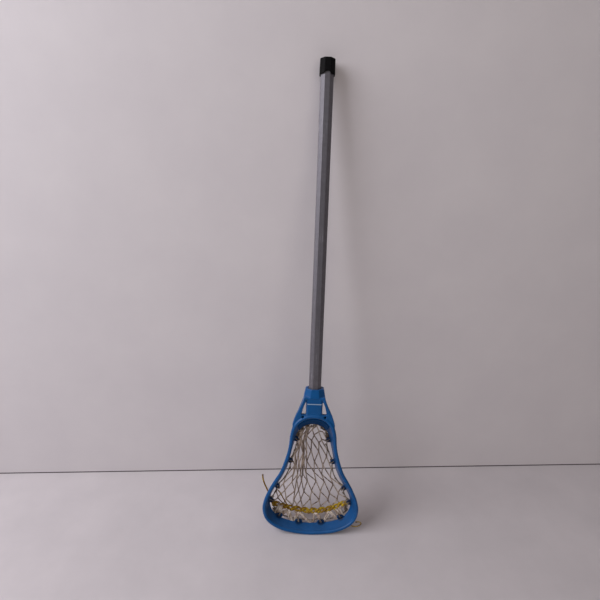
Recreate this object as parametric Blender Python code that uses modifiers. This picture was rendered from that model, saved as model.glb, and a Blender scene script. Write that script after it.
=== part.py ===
"""A junior lacrosse stick: a moulded plastic head on an octagonal aluminium shaft.

The stick stands upright on its scoop: Z runs up the shaft, X is to the right, and the open
face of the head looks along -Y.  The origin is the grip point on the shaft's axis.  Sizes
below are in millimetres, with heights measured up from the tip of the scoop.
"""

import math

import bmesh
import bpy
import numpy as np
from mathutils import Matrix, Vector

MM = 0.001
GAP = 0.3                      # clearance between pieces that touch
THROUGH = 5.0                  # how far a cutter runs past the face it cuts

# Overall
OVERALL_LENGTH = 733.0
GRIP_HEIGHT = 480.0            # the origin, half way up the bare shaft

# Shaft and end cap
SHAFT_ACROSS = 19.05           # three quarters of an inch over the flats
SHAFT_WALL = 1.5
SHAFT_FOOT = 200.0             # the shaft's lower end, deep in the head's socket
CAP_ACROSS = 22.6
CAP_END = 2.6                  # thickness of the cap's closed end
CAP_SKIRT = 20.0               # length of the cap over the shaft
CAP_TAPER = 0.8                # how much narrower the cap is at its closed end
CAP_NOTCH = 3.4                # how far the hem is cut back on the front and back flats
CAP_NOTCH_RADIUS = 6.0

# Head: the rim runs round the opening, as a front rail, a thin wall and a back rail
FRONT_Y = -16.0                # front face of the head
BACK_Y_SIDE = 16.0             # back face along the side walls
BACK_Y_SCOOP = 6.0             # back face at the scoop, which is shallower
FRONT_RAIL = 6.0               # widths of the two rails, seen from the front
BACK_RAIL = 5.0
WALL = 2.8
RAIL_EDGE = 1.1                # corner chamfer of both rails
FRONT_RAIL_DEPTH = 4.2
BACK_RAIL_DEPTH = 4.6

# Outer edge of the front rail, from the middle of the throat arch to the tip of the scoop (x, height)
FRONT_EDGE = (
    (0, 201.5), (12, 200), (22.5, 194.5), (30, 186.5), (34.6, 177), (36.8, 166), (38, 152),
    (40.2, 139), (45, 122), (51, 106), (59.5, 91.5), (67.3, 77), (74, 61), (77.2, 46),
    (75.6, 33), (69.5, 21.5), (59, 12.8), (44, 6), (24, 1.8), (0, 0),
)
# Inner edge of the back rail, matched to the front edge point by point
BACK_EDGE = (
    (0, 177), (8.5, 175.6), (16, 172), (22, 166), (26, 159), (28.2, 151), (29.8, 143),
    (32.4, 133), (35.8, 117), (39.8, 101), (46.8, 85), (55, 71), (62.2, 58.5), (66.4, 46.5),
    (65.4, 35.5), (60.2, 26.5), (51.6, 20), (39, 14.6), (21.5, 11), (0, 9.8),
)
STATIONS_PER_SPAN = 2
HALF_SPANS = len(FRONT_EDGE) - 1
LOOP_SPANS = 2 * HALF_SPANS

# Throat: collar, socket column, web and struts
COLLAR_FOOT, COLLAR_TOP = 228.0, 241.5
COLLAR_HALF_FOOT, COLLAR_HALF_TOP = 16.9, 14.2
COLLAR_FLATTEN = 0.9           # the collar is a little shallower than it is wide
COLUMN_HALF_WIDTH = 12.7
COLUMN_FRONT, COLUMN_BACK = -13.0, 13.4
COLUMN_STEP_HEIGHT = 218.6     # a small ledge across the column's front
COLUMN_STEP = 1.0
WEB_FRONT, WEB_BACK = -14.2, -6.4
STRUT_BACK = 9.0
STRUT_WIDTH = 4.2
STRUT_LEAN = 4.6               # how far a strut's back edge has moved inward at its foot
STRUT_FOOT = (34.8, 175.5)
STRUT_EDGE = ((16.4, 229.5), (18.4, 222), (21.2, 215), (24.6, 208), (28.2, 200.5), (31.4, 192), (33.6, 184))
WEB_ARCH = ((31.6, 178.5), (27.4, 185.4), (20.4, 192), (10.8, 197), (0, 198.4))
WINDOW = ((11, 226), (15.3, 226), (15.3, 219.5), (20.2, 201.2), (11, 201.2))
COLUMN_FOOT_FRONT, COLUMN_FOOT_BACK = 199.0, 181.0   # the column's foot follows the ball stop
COLLAR_OVERLAP = 2.0           # how far the column runs up into the collar
LACE_HOLE_X, LACE_HOLE_HEIGHT, LACE_HOLE_RADIUS = 18.6, 196.4, 1.6

# Foam pad: stations along the arch, and its corners as a share of the wall's depth and a lift off it
PAD_STATIONS = 10
PAD_PITCH = 0.3
PAD_CORNERS = ((0.12, 0.4), (0.9, 0.4), (0.86, 2.4), (0.16, 2.4))
PAD_CENTRE_HEIGHT = 130.0      # the pad faces this height on the head's middle line

# Lugs with eyelets on the back rail, placed by how many spans they are from the arch
LUG_STATIONS = (5.05, 8.25, 11.2, 13.2, 16.0, 18.15)
LUG_RADIUS = 3.8
LUG_INSET = 1.9                # the eyelet's centre, inward from the back rail's edge
LUG_FRONT, LUG_BACK = 4.3, 1.3   # lug faces, forward of the back face
EYELET_RADIUS = 1.5

# Screw through the back of the socket into the shaft
SCREW_HEIGHT = 211.0
SCREW_HEAD_RADIUS, SCREW_HEAD_DEPTH = 3.9, 2.4
SCREW_SHANK_RADIUS, SCREW_SHANK_LENGTH = 1.7, 6.6
SCREW_TIP = 1.0                # length of the pointed tip
SCREW_CLEARANCE = 0.35
SLOT_LENGTH, SLOT_WIDTH, SLOT_DEPTH = 4.4, 0.9, 1.2

# Soft parts
STRING_RADIUS = 1.2
STRING_INSET = 2.6             # string centre, inward from the back rail's edge
STRING_BEHIND = 1.8            # string centre, behind the back face
POCKET_INSET = 4.8
POCKET_SAG = 19.0
POCKET_THICKNESS = 1.6
POCKET_CENTRE = (0.0, 72.0)
POCKET_RINGS = 6
# Lacing strings, by the stations they run between
THROAT_RUN, SIDE_RUN, SCOOP_RUN_START = (-4.3, 4.3), (4.6, 14.3), 14.7
SHOOTING_RADIUS = 1.7
SHOOTING_CLEARANCE = 1.7       # between the shooting string and the mesh
SHOOTING_ROUTE = ((-58, 36.5), (-42, 30.5), (-22, 26), (2, 24), (24, 26.2), (42, 31.5), (58, 40))
TAIL_RADIUS = 1.3
LEFT_TAIL = (
    (-66.5, 19.2, 44), (-69.8, 20.2, 51.5), (-73.4, 20.6, 59), (-76.9, 20.6, 66.5),
    (-79.4, 20.2, 74.5), (-80.2, 19.6, 82.5),
)
RIGHT_TAIL = (
    (50, 11.8, 19), (54, 14.4, 14.2), (58.5, 14, 10.2), (63, 10, 7.3), (68, 5.4, 5.8),
    (74, 3.2, 5.2), (80, 4, 5.4), (84.8, 7, 6.1), (86, 10.4, 6.9), (82.6, 12.8, 7.4),
    (77.6, 12, 7.2),
)

COLOURS = {
    "head": (0.004, 0.10, 0.33),
    "pad": (0.002, 0.055, 0.18),
    "shaft": (0.30, 0.30, 0.34),
    "cap": (0.012, 0.012, 0.013),
    "screw": (0.45, 0.45, 0.46),
    "mesh": (0.72, 0.66, 0.54),
    "white_string": (0.75, 0.71, 0.62),
    "yellow_string": (0.62, 0.40, 0.05),
}


# Scene, finishes and placing

def clear_scene():
    """Starts from an empty scene, with a collection each for the parts and the cutters."""
    for obj in list(bpy.data.objects):
        bpy.data.objects.remove(obj)
    made = []
    for name in ("lacrosse_stick", "cutters"):
        collection = bpy.data.collections.new(name)
        bpy.context.scene.collection.children.link(collection)
        made.append(collection)
    return made


def finish(obj, colour_name, roughness, metallic=0.0):
    """Gives an object a material of its own."""
    material = bpy.data.materials.new(obj.name + "_finish")
    material.use_nodes = True
    shader = material.node_tree.nodes["Principled BSDF"]
    shader.inputs["Base Color"].default_value = (*COLOURS[colour_name], 1.0)
    shader.inputs["Roughness"].default_value = roughness
    shader.inputs["Metallic"].default_value = metallic
    obj.data.materials.clear()
    obj.data.materials.append(material)


def mesh_object(name, mesh_data, collection):
    """Links a bmesh, given in millimetres, as an object in metres."""
    bmesh.ops.recalc_face_normals(mesh_data, faces=mesh_data.faces)
    bmesh.ops.scale(mesh_data, vec=(MM, MM, MM), verts=mesh_data.verts)
    mesh = bpy.data.meshes.new(name)
    mesh_data.to_mesh(mesh)
    mesh_data.free()
    mesh.shade_smooth()
    mesh.set_sharp_from_angle(angle=math.radians(35))
    obj = bpy.data.objects.new(name, mesh)
    collection.objects.link(obj)
    return obj


def make_cutter(obj):
    """Marks an object that only cuts or joins others."""
    obj.hide_render = True
    obj.display_type = "WIRE"
    return obj


def combine(target, tool, operation):
    """Cuts a tool out of a piece, or joins it on, keeping the modifier on the piece."""
    modifier = target.modifiers.new(tool.name, "BOOLEAN")
    modifier.operation = operation
    modifier.solver = "EXACT"
    modifier.object = tool


# Shapes

def catmull_rom(before, start, end, after, t):
    """A point between start and end on the smooth curve through four points."""
    return 0.5 * (
        2 * start + (end - before) * t
        + (2 * before - 5 * start + 4 * end - after) * t * t
        + (3 * start - before - 3 * end + after) * t ** 3
    )


def mirrored_loop(right_half):
    """Closes a right-hand outline into a loop, down the right side and up the left."""
    left_half = [(-x, z) for x, z in right_half[-2:0:-1]]
    return np.array(list(right_half) + left_half, float)


def loop_point(loop, station):
    """A point of the closed smooth curve through a loop, a station per control point."""
    whole = math.floor(station)
    corners = [loop[(whole + step) % len(loop)] for step in (-1, 0, 1, 2)]
    return catmull_rom(*corners, station - whole)


def outward(loop, station):
    """The loop's unit normal at a station, pointing away from the opening."""
    along = loop_point(loop, station + 0.05) - loop_point(loop, station - 0.05)
    along /= np.linalg.norm(along)
    return np.array((-along[1], along[0]))


def smooth_route(points, steps):
    """A smooth open curve through points, with a number of steps for each span."""
    points = [np.array(p, float) for p in points]
    ends = [2 * points[0] - points[1]] + points + [2 * points[-1] - points[-2]]
    route = []
    for i in range(1, len(ends) - 2):
        for step in range(steps):
            route.append(catmull_rom(*ends[i - 1:i + 3], step / steps))
    route.append(points[-1])
    return route


def loft(sections, closed):
    """Skins a row of matching rings; an open row is capped, a closed row joins its ends."""
    made = bmesh.new()
    rings = [[made.verts.new(p) for p in ring] for ring in sections]
    pairs = list(zip(rings, rings[1:]))
    if closed:
        pairs.append((rings[-1], rings[0]))
    else:
        made.faces.new(rings[0])
        made.faces.new(rings[-1][::-1])
    for first, second in pairs:
        for i in range(len(first)):
            j = (i + 1) % len(first)
            made.faces.new((first[i], second[i], second[j], first[j]))
    return made


def prism(outline, low, high, axis):
    """A flat outline pushed along an axis: 'Y' takes (x, z) points and 'X' takes (y, z)."""
    def place(a, b, level):
        return (a, level, b) if axis == "Y" else (level, a, b)
    return loft([[place(a, b, level) for a, b in outline] for level in (low, high)], False)


def rod(radius, length, centre, segments):
    """A cylinder round a centre, running front to back."""
    made = bmesh.new()
    bmesh.ops.create_cone(
        made, cap_ends=True, segments=segments, radius1=radius, radius2=radius, depth=length,
        matrix=Matrix.Translation(Vector(centre)) @ Matrix.Rotation(math.radians(-90), 4, "X"),
    )
    return made


def octagon(across, low, high, end_across=None):
    """An eight-sided bar on the stick's axis, with a flat facing front."""
    to_corner = 0.5 / math.cos(math.pi / 8)
    made = bmesh.new()
    bmesh.ops.create_cone(
        made, cap_ends=True, segments=8, radius1=across * to_corner,
        radius2=(end_across or across) * to_corner, depth=high - low,
        matrix=Matrix.Translation((0, 0, (low + high) / 2)) @ Matrix.Rotation(math.pi / 8, 4, "Z"),
    )
    return made


def tube(name, route, radius, collection):
    """A round cord with filled ends, as a curve object."""
    curve = bpy.data.curves.new(name, "CURVE")
    curve.dimensions = "3D"
    curve.bevel_depth = radius * MM
    curve.bevel_resolution = 2
    curve.use_fill_caps = True
    spline = curve.splines.new("POLY")
    spline.points.add(len(route) - 1)
    for point, place in zip(spline.points, route):
        point.co = (*(float(v) * MM for v in place), 1.0)
    obj = bpy.data.objects.new(name, curve)
    collection.objects.link(obj)
    return obj


# Head

def smooth_step(value, low, high):
    """Rises smoothly from 0 at low to 1 at high."""
    t = min(max((value - low) / (high - low), 0.0), 1.0)
    return t * t * (3 - 2 * t)


def back_face(height):
    """How far back the rim's back face lies at a height: shallow at the scoop, deep above."""
    return BACK_Y_SCOOP + (BACK_Y_SIDE - BACK_Y_SCOOP) * smooth_step(height, 12, 60)


def rim_section(front_loop, back_loop, station):
    """One ring round the rim's section: front rail, wall and back rail."""
    front, front_out = loop_point(front_loop, station), outward(front_loop, station)
    back, back_out = loop_point(back_loop, station), outward(back_loop, station)
    back_y = back_face(back[1])
    rail_foot = FRONT_Y + FRONT_RAIL_DEPTH
    rail_head = back_y - BACK_RAIL_DEPTH

    def on_front(inset, y):
        x, z = front - front_out * inset
        return (x, y, z)

    def on_back(outset, y):
        x, z = back + back_out * outset
        return (x, y, z)

    return [
        on_front(0, FRONT_Y + RAIL_EDGE),
        on_front(RAIL_EDGE, FRONT_Y),
        on_front(FRONT_RAIL - RAIL_EDGE, FRONT_Y),
        on_front(FRONT_RAIL, FRONT_Y + RAIL_EDGE),
        on_front(FRONT_RAIL, rail_foot - RAIL_EDGE),
        on_front(FRONT_RAIL - 1, rail_foot),
        on_back(1, rail_head),
        on_back(0, rail_head + RAIL_EDGE),
        on_back(0, back_y - RAIL_EDGE),
        on_back(RAIL_EDGE, back_y),
        on_back(BACK_RAIL - RAIL_EDGE, back_y),
        on_back(BACK_RAIL, back_y - RAIL_EDGE),
        on_back(BACK_RAIL, rail_head + RAIL_EDGE),
        on_back(1 + WALL, rail_head),
        on_front(FRONT_RAIL - 1 - WALL, rail_foot),
        on_front(0, rail_foot - RAIL_EDGE),
    ]


def make_rim(front_loop, back_loop, collection):
    """The head's rim as one closed loft round the opening."""
    count = LOOP_SPANS * STATIONS_PER_SPAN
    sections = [rim_section(front_loop, back_loop, i / STATIONS_PER_SPAN) for i in range(count)]
    return mesh_object("head_frame", loft(sections, True), collection)


def web_outline():
    """The throat's front plate: outside edges down both struts, and the arch below."""
    half = list(STRUT_EDGE + WEB_ARCH)
    return half + [(-x, z) for x, z in half[-2::-1]]


def strut(side):
    """One strut, lofted down from the collar and leaning inward at its back as the side wall does."""
    sections = []
    for x, z in STRUT_EDGE + (STRUT_FOOT,):
        lean = STRUT_LEAN * smooth_step(z, COLLAR_FOOT, STRUT_FOOT[1])
        front, back = x - 0.5, x - 0.5 - lean
        corners = [
            (front, WEB_FRONT + 0.4), (front - STRUT_WIDTH, WEB_FRONT + 0.4),
            (back - STRUT_WIDTH, STRUT_BACK), (back, STRUT_BACK),
        ]
        sections.append([(side * across, y, z) for across, y in corners])
    made = loft(sections, False)
    bmesh.ops.triangulate(made, faces=made.faces)
    return made


def column_outline():
    """The socket column from the side: a ledge in front, and a foot that follows the ball stop."""
    return [
        (COLUMN_FRONT + 0.02, COLUMN_FOOT_FRONT),
        (COLUMN_FRONT, COLUMN_STEP_HEIGHT),
        (COLUMN_FRONT + COLUMN_STEP, COLUMN_STEP_HEIGHT),
        (COLUMN_FRONT + COLUMN_STEP, COLLAR_FOOT + COLLAR_OVERLAP),
        (COLUMN_BACK, COLLAR_FOOT + COLLAR_OVERLAP),
        (COLUMN_BACK, COLUMN_FOOT_BACK),
    ]


def make_throat(head, cutters):
    """Joins the web, struts, socket column and collar to the rim, and cuts the windows and bore."""
    column = prism(column_outline(), -COLUMN_HALF_WIDTH, COLUMN_HALF_WIDTH, "X")
    collar = octagon(2 * COLLAR_HALF_FOOT, COLLAR_FOOT, COLLAR_TOP, 2 * COLLAR_HALF_TOP)
    bmesh.ops.scale(collar, vec=(1, COLLAR_FLATTEN, 1), verts=collar.verts)
    solids = {
        "strut_left": strut(-1),
        "strut_right": strut(1),
        "column": column,
        "collar": collar,
    }
    web = make_cutter(mesh_object("web", prism(web_outline(), WEB_FRONT, WEB_BACK, "Y"), cutters))
    for side in (-1, 1):
        window = [(side * x, z) for x, z in WINDOW]
        hole = prism(window, WEB_FRONT - THROUGH, WEB_BACK + THROUGH, "Y")
        name = "window_left" if side < 0 else "window_right"
        combine(web, make_cutter(mesh_object(name, hole, cutters)), "DIFFERENCE")
    combine(head, web, "UNION")
    for name, shape in solids.items():
        combine(head, make_cutter(mesh_object(name, shape, cutters)), "UNION")


def make_lugs(head, back_loop, cutters):
    """Adds the string lugs on both sides and bores an eyelet through each."""
    for side in (-1, 1):
        for index, station in enumerate(LUG_STATIONS):
            place, out = loop_point(back_loop, station), outward(back_loop, station)
            x, z = place - out * LUG_INSET
            back_y = back_face(place[1])
            centre = (side * x, back_y - (LUG_FRONT + LUG_BACK) / 2, z)
            name = f"lug_{'left' if side < 0 else 'right'}_{index + 1}"
            disc = rod(LUG_RADIUS, LUG_FRONT - LUG_BACK, centre, 12)
            combine(head, make_cutter(mesh_object(name, disc, cutters)), "UNION")
            bore = rod(EYELET_RADIUS, 2 * (LUG_FRONT - LUG_BACK), centre, 8)
            combine(head, make_cutter(mesh_object(name + "_eyelet", bore, cutters)), "DIFFERENCE")


def cut_head(head, cutters):
    """Cuts the shaft's socket, the screw's hole and the two lacing holes of the throat."""
    bore = octagon(SHAFT_ACROSS + 2 * GAP, SHAFT_FOOT - GAP, COLLAR_TOP + THROUGH)
    combine(head, make_cutter(mesh_object("socket_bore", bore, cutters)), "DIFFERENCE")
    radius = SCREW_SHANK_RADIUS + SCREW_CLEARANCE
    hole = rod(radius, 2 * SCREW_SHANK_LENGTH, (0, COLUMN_BACK, SCREW_HEIGHT), 12)
    combine(head, make_cutter(mesh_object("screw_hole", hole, cutters)), "DIFFERENCE")
    for side in (-1, 1):
        centre = (side * LACE_HOLE_X, (WEB_FRONT + WEB_BACK) / 2, LACE_HOLE_HEIGHT)
        lace = rod(LACE_HOLE_RADIUS, WEB_BACK - WEB_FRONT + 2 * THROUGH, centre, 12)
        name = "lace_hole_left" if side < 0 else "lace_hole_right"
        combine(head, make_cutter(mesh_object(name, lace, cutters)), "DIFFERENCE")


def make_head(front_loop, back_loop, parts, cutters):
    """The moulded head: rim, scoop, throat, socket and lugs in one piece."""
    head = make_rim(front_loop, back_loop, parts)
    make_throat(head, cutters)
    make_lugs(head, back_loop, cutters)
    cut_head(head, cutters)
    finish(head, "head", 0.42)
    return head


def make_ball_stop(front_loop, back_loop, parts):
    """A thin foam pad on the slanting inner face of the throat arch."""
    def corner(ring, share, lift):
        front, back = np.array(ring[5]), np.array(ring[6])
        face = back - front
        centre = np.array((0.0, (front[1] + back[1]) / 2, PAD_CENTRE_HEIGHT))
        inward = centre - (front + back) / 2
        inward -= face * (inward @ face) / (face @ face)
        return front + face * share + inward / np.linalg.norm(inward) * lift

    sections = []
    for i in range(-PAD_STATIONS, PAD_STATIONS + 1):
        ring = rim_section(front_loop, back_loop, i * PAD_PITCH)
        sections.append([corner(ring, share, lift) for share, lift in PAD_CORNERS])
    pad = mesh_object("ball_stop_pad", loft(sections, False), parts)
    finish(pad, "pad", 0.9)
    return pad


# Shaft, screw and cap

def make_shaft(parts, cutters):
    """An octagonal tube, open at both ends, with the screw's hole near its foot."""
    top = OVERALL_LENGTH - CAP_END - GAP
    shaft = mesh_object("shaft", octagon(SHAFT_ACROSS, SHAFT_FOOT, top), parts)
    bore = octagon(SHAFT_ACROSS - 2 * SHAFT_WALL, SHAFT_FOOT - THROUGH, top + THROUGH)
    combine(shaft, make_cutter(mesh_object("shaft_bore", bore, cutters)), "DIFFERENCE")
    hole = rod(SCREW_SHANK_RADIUS + SCREW_CLEARANCE, 4 * SHAFT_WALL, (0, SHAFT_ACROSS / 2, SCREW_HEIGHT), 12)
    combine(shaft, make_cutter(mesh_object("shaft_screw_hole", hole, cutters)), "DIFFERENCE")
    finish(shaft, "shaft", 0.35, 1.0)
    return shaft


def make_cap(parts, cutters):
    """The rubber butt cap, a closed octagonal sleeve; its origin is on the axis it pulls off along."""
    cap = mesh_object("end_cap", octagon(CAP_ACROSS, -CAP_SKIRT, CAP_END, CAP_ACROSS - CAP_TAPER), parts)
    cavity = octagon(SHAFT_ACROSS + 2 * GAP, -CAP_SKIRT - THROUGH, 0)
    combine(cap, make_cutter(mesh_object("cap_cavity", cavity, cutters)), "DIFFERENCE")
    notch = rod(CAP_NOTCH_RADIUS, 2 * CAP_ACROSS, (0, 0, CAP_NOTCH - CAP_NOTCH_RADIUS - CAP_SKIRT), 24)
    combine(cap, make_cutter(mesh_object("cap_notch", notch, cutters)), "DIFFERENCE")
    for tool in (bpy.data.objects["cap_cavity"], bpy.data.objects["cap_notch"]):
        tool.location.z = (OVERALL_LENGTH - CAP_END) * MM
    cap.location.z = (OVERALL_LENGTH - CAP_END) * MM
    finish(cap, "cap", 0.75)
    return cap


def make_screw(parts, cutters):
    """A pan-head screw, turned from its profile, with a cross recess."""
    profile = [(0, 0), (SCREW_SHANK_RADIUS * 0.6, 0), (SCREW_SHANK_RADIUS, SCREW_TIP)]
    profile += [(SCREW_SHANK_RADIUS, SCREW_SHANK_LENGTH), (SCREW_HEAD_RADIUS, SCREW_SHANK_LENGTH)]
    for step in range(4):
        turn = math.radians(20 + 70 * step / 3)
        reach = SCREW_HEAD_RADIUS * math.cos(turn) / math.cos(math.radians(20))
        profile.append((reach if step < 3 else 0, SCREW_SHANK_LENGTH + SCREW_HEAD_DEPTH * math.sin(turn)))
    made = bmesh.new()
    verts = [made.verts.new((r, 0, z)) for r, z in profile]
    for first, second in zip(verts, verts[1:]):
        made.edges.new((first, second))
    bmesh.ops.spin(
        made, geom=made.verts[:] + made.edges[:], cent=(0, 0, 0), axis=(0, 0, 1),
        angle=math.tau, steps=16, use_merge=True,
    )
    bmesh.ops.remove_doubles(made, verts=made.verts, dist=0.0001)
    screw = mesh_object("head_screw", made, parts)
    slots = []
    sizes = {"slot_wide": (SLOT_LENGTH, SLOT_WIDTH), "slot_tall": (SLOT_WIDTH, SLOT_LENGTH)}
    for name, (across, up) in sizes.items():
        slot = bmesh.new()
        bmesh.ops.create_cube(slot, size=1.0)
        bmesh.ops.scale(slot, vec=(across, up, 2 * SLOT_DEPTH), verts=slot.verts)
        bmesh.ops.translate(slot, vec=(0, 0, SCREW_SHANK_LENGTH + SCREW_HEAD_DEPTH), verts=slot.verts)
        slots.append(make_cutter(mesh_object(name, slot, cutters)))
        combine(screw, slots[-1], "DIFFERENCE")
    for obj in [screw] + slots:
        obj.rotation_euler = (math.radians(-90), 0, 0)
        obj.location = (0, (COLUMN_BACK + GAP - SCREW_SHANK_LENGTH) * MM, SCREW_HEIGHT * MM)
    finish(screw, "screw", 0.3, 1.0)
    return screw


# Stringing

def string_route(back_loop, first, last, steps):
    """A lacing string along the back rail, between two stations."""
    route = []
    for i in range(steps + 1):
        station = first + (last - first) * i / steps
        place, out = loop_point(back_loop, station), outward(back_loop, station)
        x, z = place - out * STRING_INSET
        route.append((x, back_face(place[1]) + STRING_BEHIND, z))
    return route


def make_border_strings(back_loop, parts):
    """The four strings that lace the mesh to the rim, each as a plain cord in its place."""
    runs = {
        "throat_string": (*THROAT_RUN, 28),
        "sidewall_string_right": (*SIDE_RUN, 36),
        "top_string": (SCOOP_RUN_START, LOOP_SPANS - SCOOP_RUN_START, 36),
        "sidewall_string_left": (LOOP_SPANS - SIDE_RUN[1], LOOP_SPANS - SIDE_RUN[0], 36),
    }
    for name, (first, last, steps) in runs.items():
        cord = tube(name, string_route(back_loop, first, last, steps), STRING_RADIUS, parts)
        finish(cord, "white_string", 0.8)


def pocket_edge(back_loop, station):
    """The mesh's edge at a station: inside the back rail, and level with its strings."""
    place, out = loop_point(back_loop, station), outward(back_loop, station)
    x, z = place - out * POCKET_INSET
    return np.array((x, back_face(place[1]) + STRING_BEHIND, z))


def pocket_point(back_loop, station, spread):
    """A point of the pocket: spread is 0 at its deepest point and 1 at its edge."""
    edge = pocket_edge(back_loop, station)
    x = POCKET_CENTRE[0] + (edge[0] - POCKET_CENTRE[0]) * spread
    z = POCKET_CENTRE[1] + (edge[2] - POCKET_CENTRE[1]) * spread
    middle_y = back_face(POCKET_CENTRE[1]) + STRING_BEHIND + POCKET_SAG
    y = middle_y + (edge[1] - middle_y) * spread ** 2
    return np.array((x, y, z))


def make_pocket(back_loop, parts):
    """The mesh as one thin bag of its real outer shape, open to the front."""
    made = bmesh.new()
    centre = made.verts.new(pocket_point(back_loop, 0, 0))
    rings = []
    for ring in range(1, POCKET_RINGS + 1):
        spread = ring / POCKET_RINGS
        rings.append([made.verts.new(pocket_point(back_loop, s, spread)) for s in range(LOOP_SPANS)])
    for i in range(LOOP_SPANS):
        j = (i + 1) % LOOP_SPANS
        made.faces.new((centre, rings[0][i], rings[0][j]))
        for inner, outer in zip(rings, rings[1:]):
            made.faces.new((inner[i], outer[i], outer[j], inner[j]))
    pocket = mesh_object("mesh_pocket", made, parts)
    shell = pocket.modifiers.new("thickness", "SOLIDIFY")
    shell.thickness = POCKET_THICKNESS * MM
    shell.offset = 0.0
    finish(pocket, "mesh", 0.85)
    return pocket


def pocket_depth(back_loop, x, z):
    """How far back the pocket lies behind a point of the opening."""
    angle = math.atan2(x - POCKET_CENTRE[0], z - POCKET_CENTRE[1])
    edges = [pocket_edge(back_loop, s / 4) for s in range(4 * LOOP_SPANS)]
    bearings = [math.atan2(e[0] - POCKET_CENTRE[0], e[2] - POCKET_CENTRE[1]) for e in edges]
    nearest = min(range(len(edges)), key=lambda i: abs(bearings[i] - angle))
    edge = edges[nearest]
    reach = math.hypot(edge[0] - POCKET_CENTRE[0], edge[2] - POCKET_CENTRE[1])
    spread = math.hypot(x - POCKET_CENTRE[0], z - POCKET_CENTRE[1]) / reach
    return pocket_point(back_loop, nearest / 4, spread)[1]


def make_shooting_string(back_loop, parts):
    """The yellow string across the mouth of the pocket, just in front of the mesh."""
    clear = POCKET_THICKNESS / 2 + SHOOTING_RADIUS + SHOOTING_CLEARANCE
    route = [(x, pocket_depth(back_loop, x, z) - clear, z) for x, z in smooth_route(SHOOTING_ROUTE, 4)]
    cord = tube("shooting_string", route, SHOOTING_RADIUS, parts)
    finish(cord, "yellow_string", 0.8)


def make_tails(parts):
    """The two loose ends of the shooting string, outside the head."""
    for name, points in (("string_tail_left", LEFT_TAIL), ("string_tail_right", RIGHT_TAIL)):
        cord = tube(name, smooth_route(points, 4), TAIL_RADIUS, parts)
        finish(cord, "yellow_string", 0.8)


def main():
    """Builds every piece, then hangs them all from the grip point."""
    parts, cutters = clear_scene()
    front_loop, back_loop = mirrored_loop(FRONT_EDGE), mirrored_loop(BACK_EDGE)
    make_head(front_loop, back_loop, parts, cutters)
    make_ball_stop(front_loop, back_loop, parts)
    make_shaft(parts, cutters)
    make_cap(parts, cutters)
    make_screw(parts, cutters)
    make_pocket(back_loop, parts)
    make_border_strings(back_loop, parts)
    make_shooting_string(back_loop, parts)
    make_tails(parts)
    grip = bpy.data.objects.new("grip_point", None)
    bpy.context.scene.collection.objects.link(grip)
    grip.location.z = -GRIP_HEIGHT * MM
    for obj in list(parts.objects) + list(cutters.objects):
        obj.parent = grip


main()
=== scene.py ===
# %% [markdown]
# # A junior lacrosse stick
#
# A lacrosse stick is four crafts in one object: an extruded aluminium shaft, a moulded plastic
# head, a rubber cap, and a pocket that somebody laces by hand from netting and cord. The packed
# model already says where each of them is. This lesson loads it as a fixed frame and then builds
# every piece as its maker does, so that it looks right from close by and from all sides.

# %%
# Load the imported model
import math

import bmesh
import bpy
import numpy as np
from mathutils import Matrix, Vector


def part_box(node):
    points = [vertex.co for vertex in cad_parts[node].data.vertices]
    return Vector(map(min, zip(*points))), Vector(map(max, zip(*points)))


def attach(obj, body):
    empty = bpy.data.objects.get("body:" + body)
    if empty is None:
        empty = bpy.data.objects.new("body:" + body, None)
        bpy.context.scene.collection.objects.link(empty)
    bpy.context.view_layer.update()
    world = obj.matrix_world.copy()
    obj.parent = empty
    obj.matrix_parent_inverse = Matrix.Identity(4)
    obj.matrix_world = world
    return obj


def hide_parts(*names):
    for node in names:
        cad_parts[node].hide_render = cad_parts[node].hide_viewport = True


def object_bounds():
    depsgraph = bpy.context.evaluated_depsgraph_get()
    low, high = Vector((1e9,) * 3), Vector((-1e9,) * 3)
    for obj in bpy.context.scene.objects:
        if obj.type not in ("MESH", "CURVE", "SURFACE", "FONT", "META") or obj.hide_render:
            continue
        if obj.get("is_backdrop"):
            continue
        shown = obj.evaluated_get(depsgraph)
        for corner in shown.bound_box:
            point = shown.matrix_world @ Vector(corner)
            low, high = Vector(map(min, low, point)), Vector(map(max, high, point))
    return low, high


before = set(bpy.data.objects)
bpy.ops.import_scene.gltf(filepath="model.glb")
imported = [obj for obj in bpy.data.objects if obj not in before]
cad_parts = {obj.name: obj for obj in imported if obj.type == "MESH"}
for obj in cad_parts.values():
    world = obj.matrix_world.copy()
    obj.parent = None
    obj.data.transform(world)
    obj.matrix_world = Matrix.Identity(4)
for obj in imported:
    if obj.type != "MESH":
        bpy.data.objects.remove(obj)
cad_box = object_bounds()
scene = bpy.context.scene

# %% [markdown]
# ## Measuring from the scoop
#
# Stick makers measure a head from the tip of its scoop, so the numbers below are millimetres with
# heights taken from that tip. The model's own origin is the grip point on the shaft, and its units
# are metres. One helper turns the first into the second, so that no piece needs moving afterwards.

# %%
# From workshop millimetres to the model's metres
MM = 0.001
SCOOP_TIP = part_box("head_frame")[0].z


def at(point):
    """A point in millimetres, heights from the scoop's tip, as metres in the model's frame."""
    x, y, z = point
    return Vector((x * MM, y * MM, z * MM + SCOOP_TIP))


print("scoop tip at", round(SCOOP_TIP, 4), "m")

# %% [markdown]
# ## The camera
#
# The stick leans back against a wall and is seen from in front, a little to its left and from just
# above its middle. The stick is kept upright here and the camera takes the lean instead. The matrix
# is built from three directions, because that holds the slight roll that angles would hide.

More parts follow.
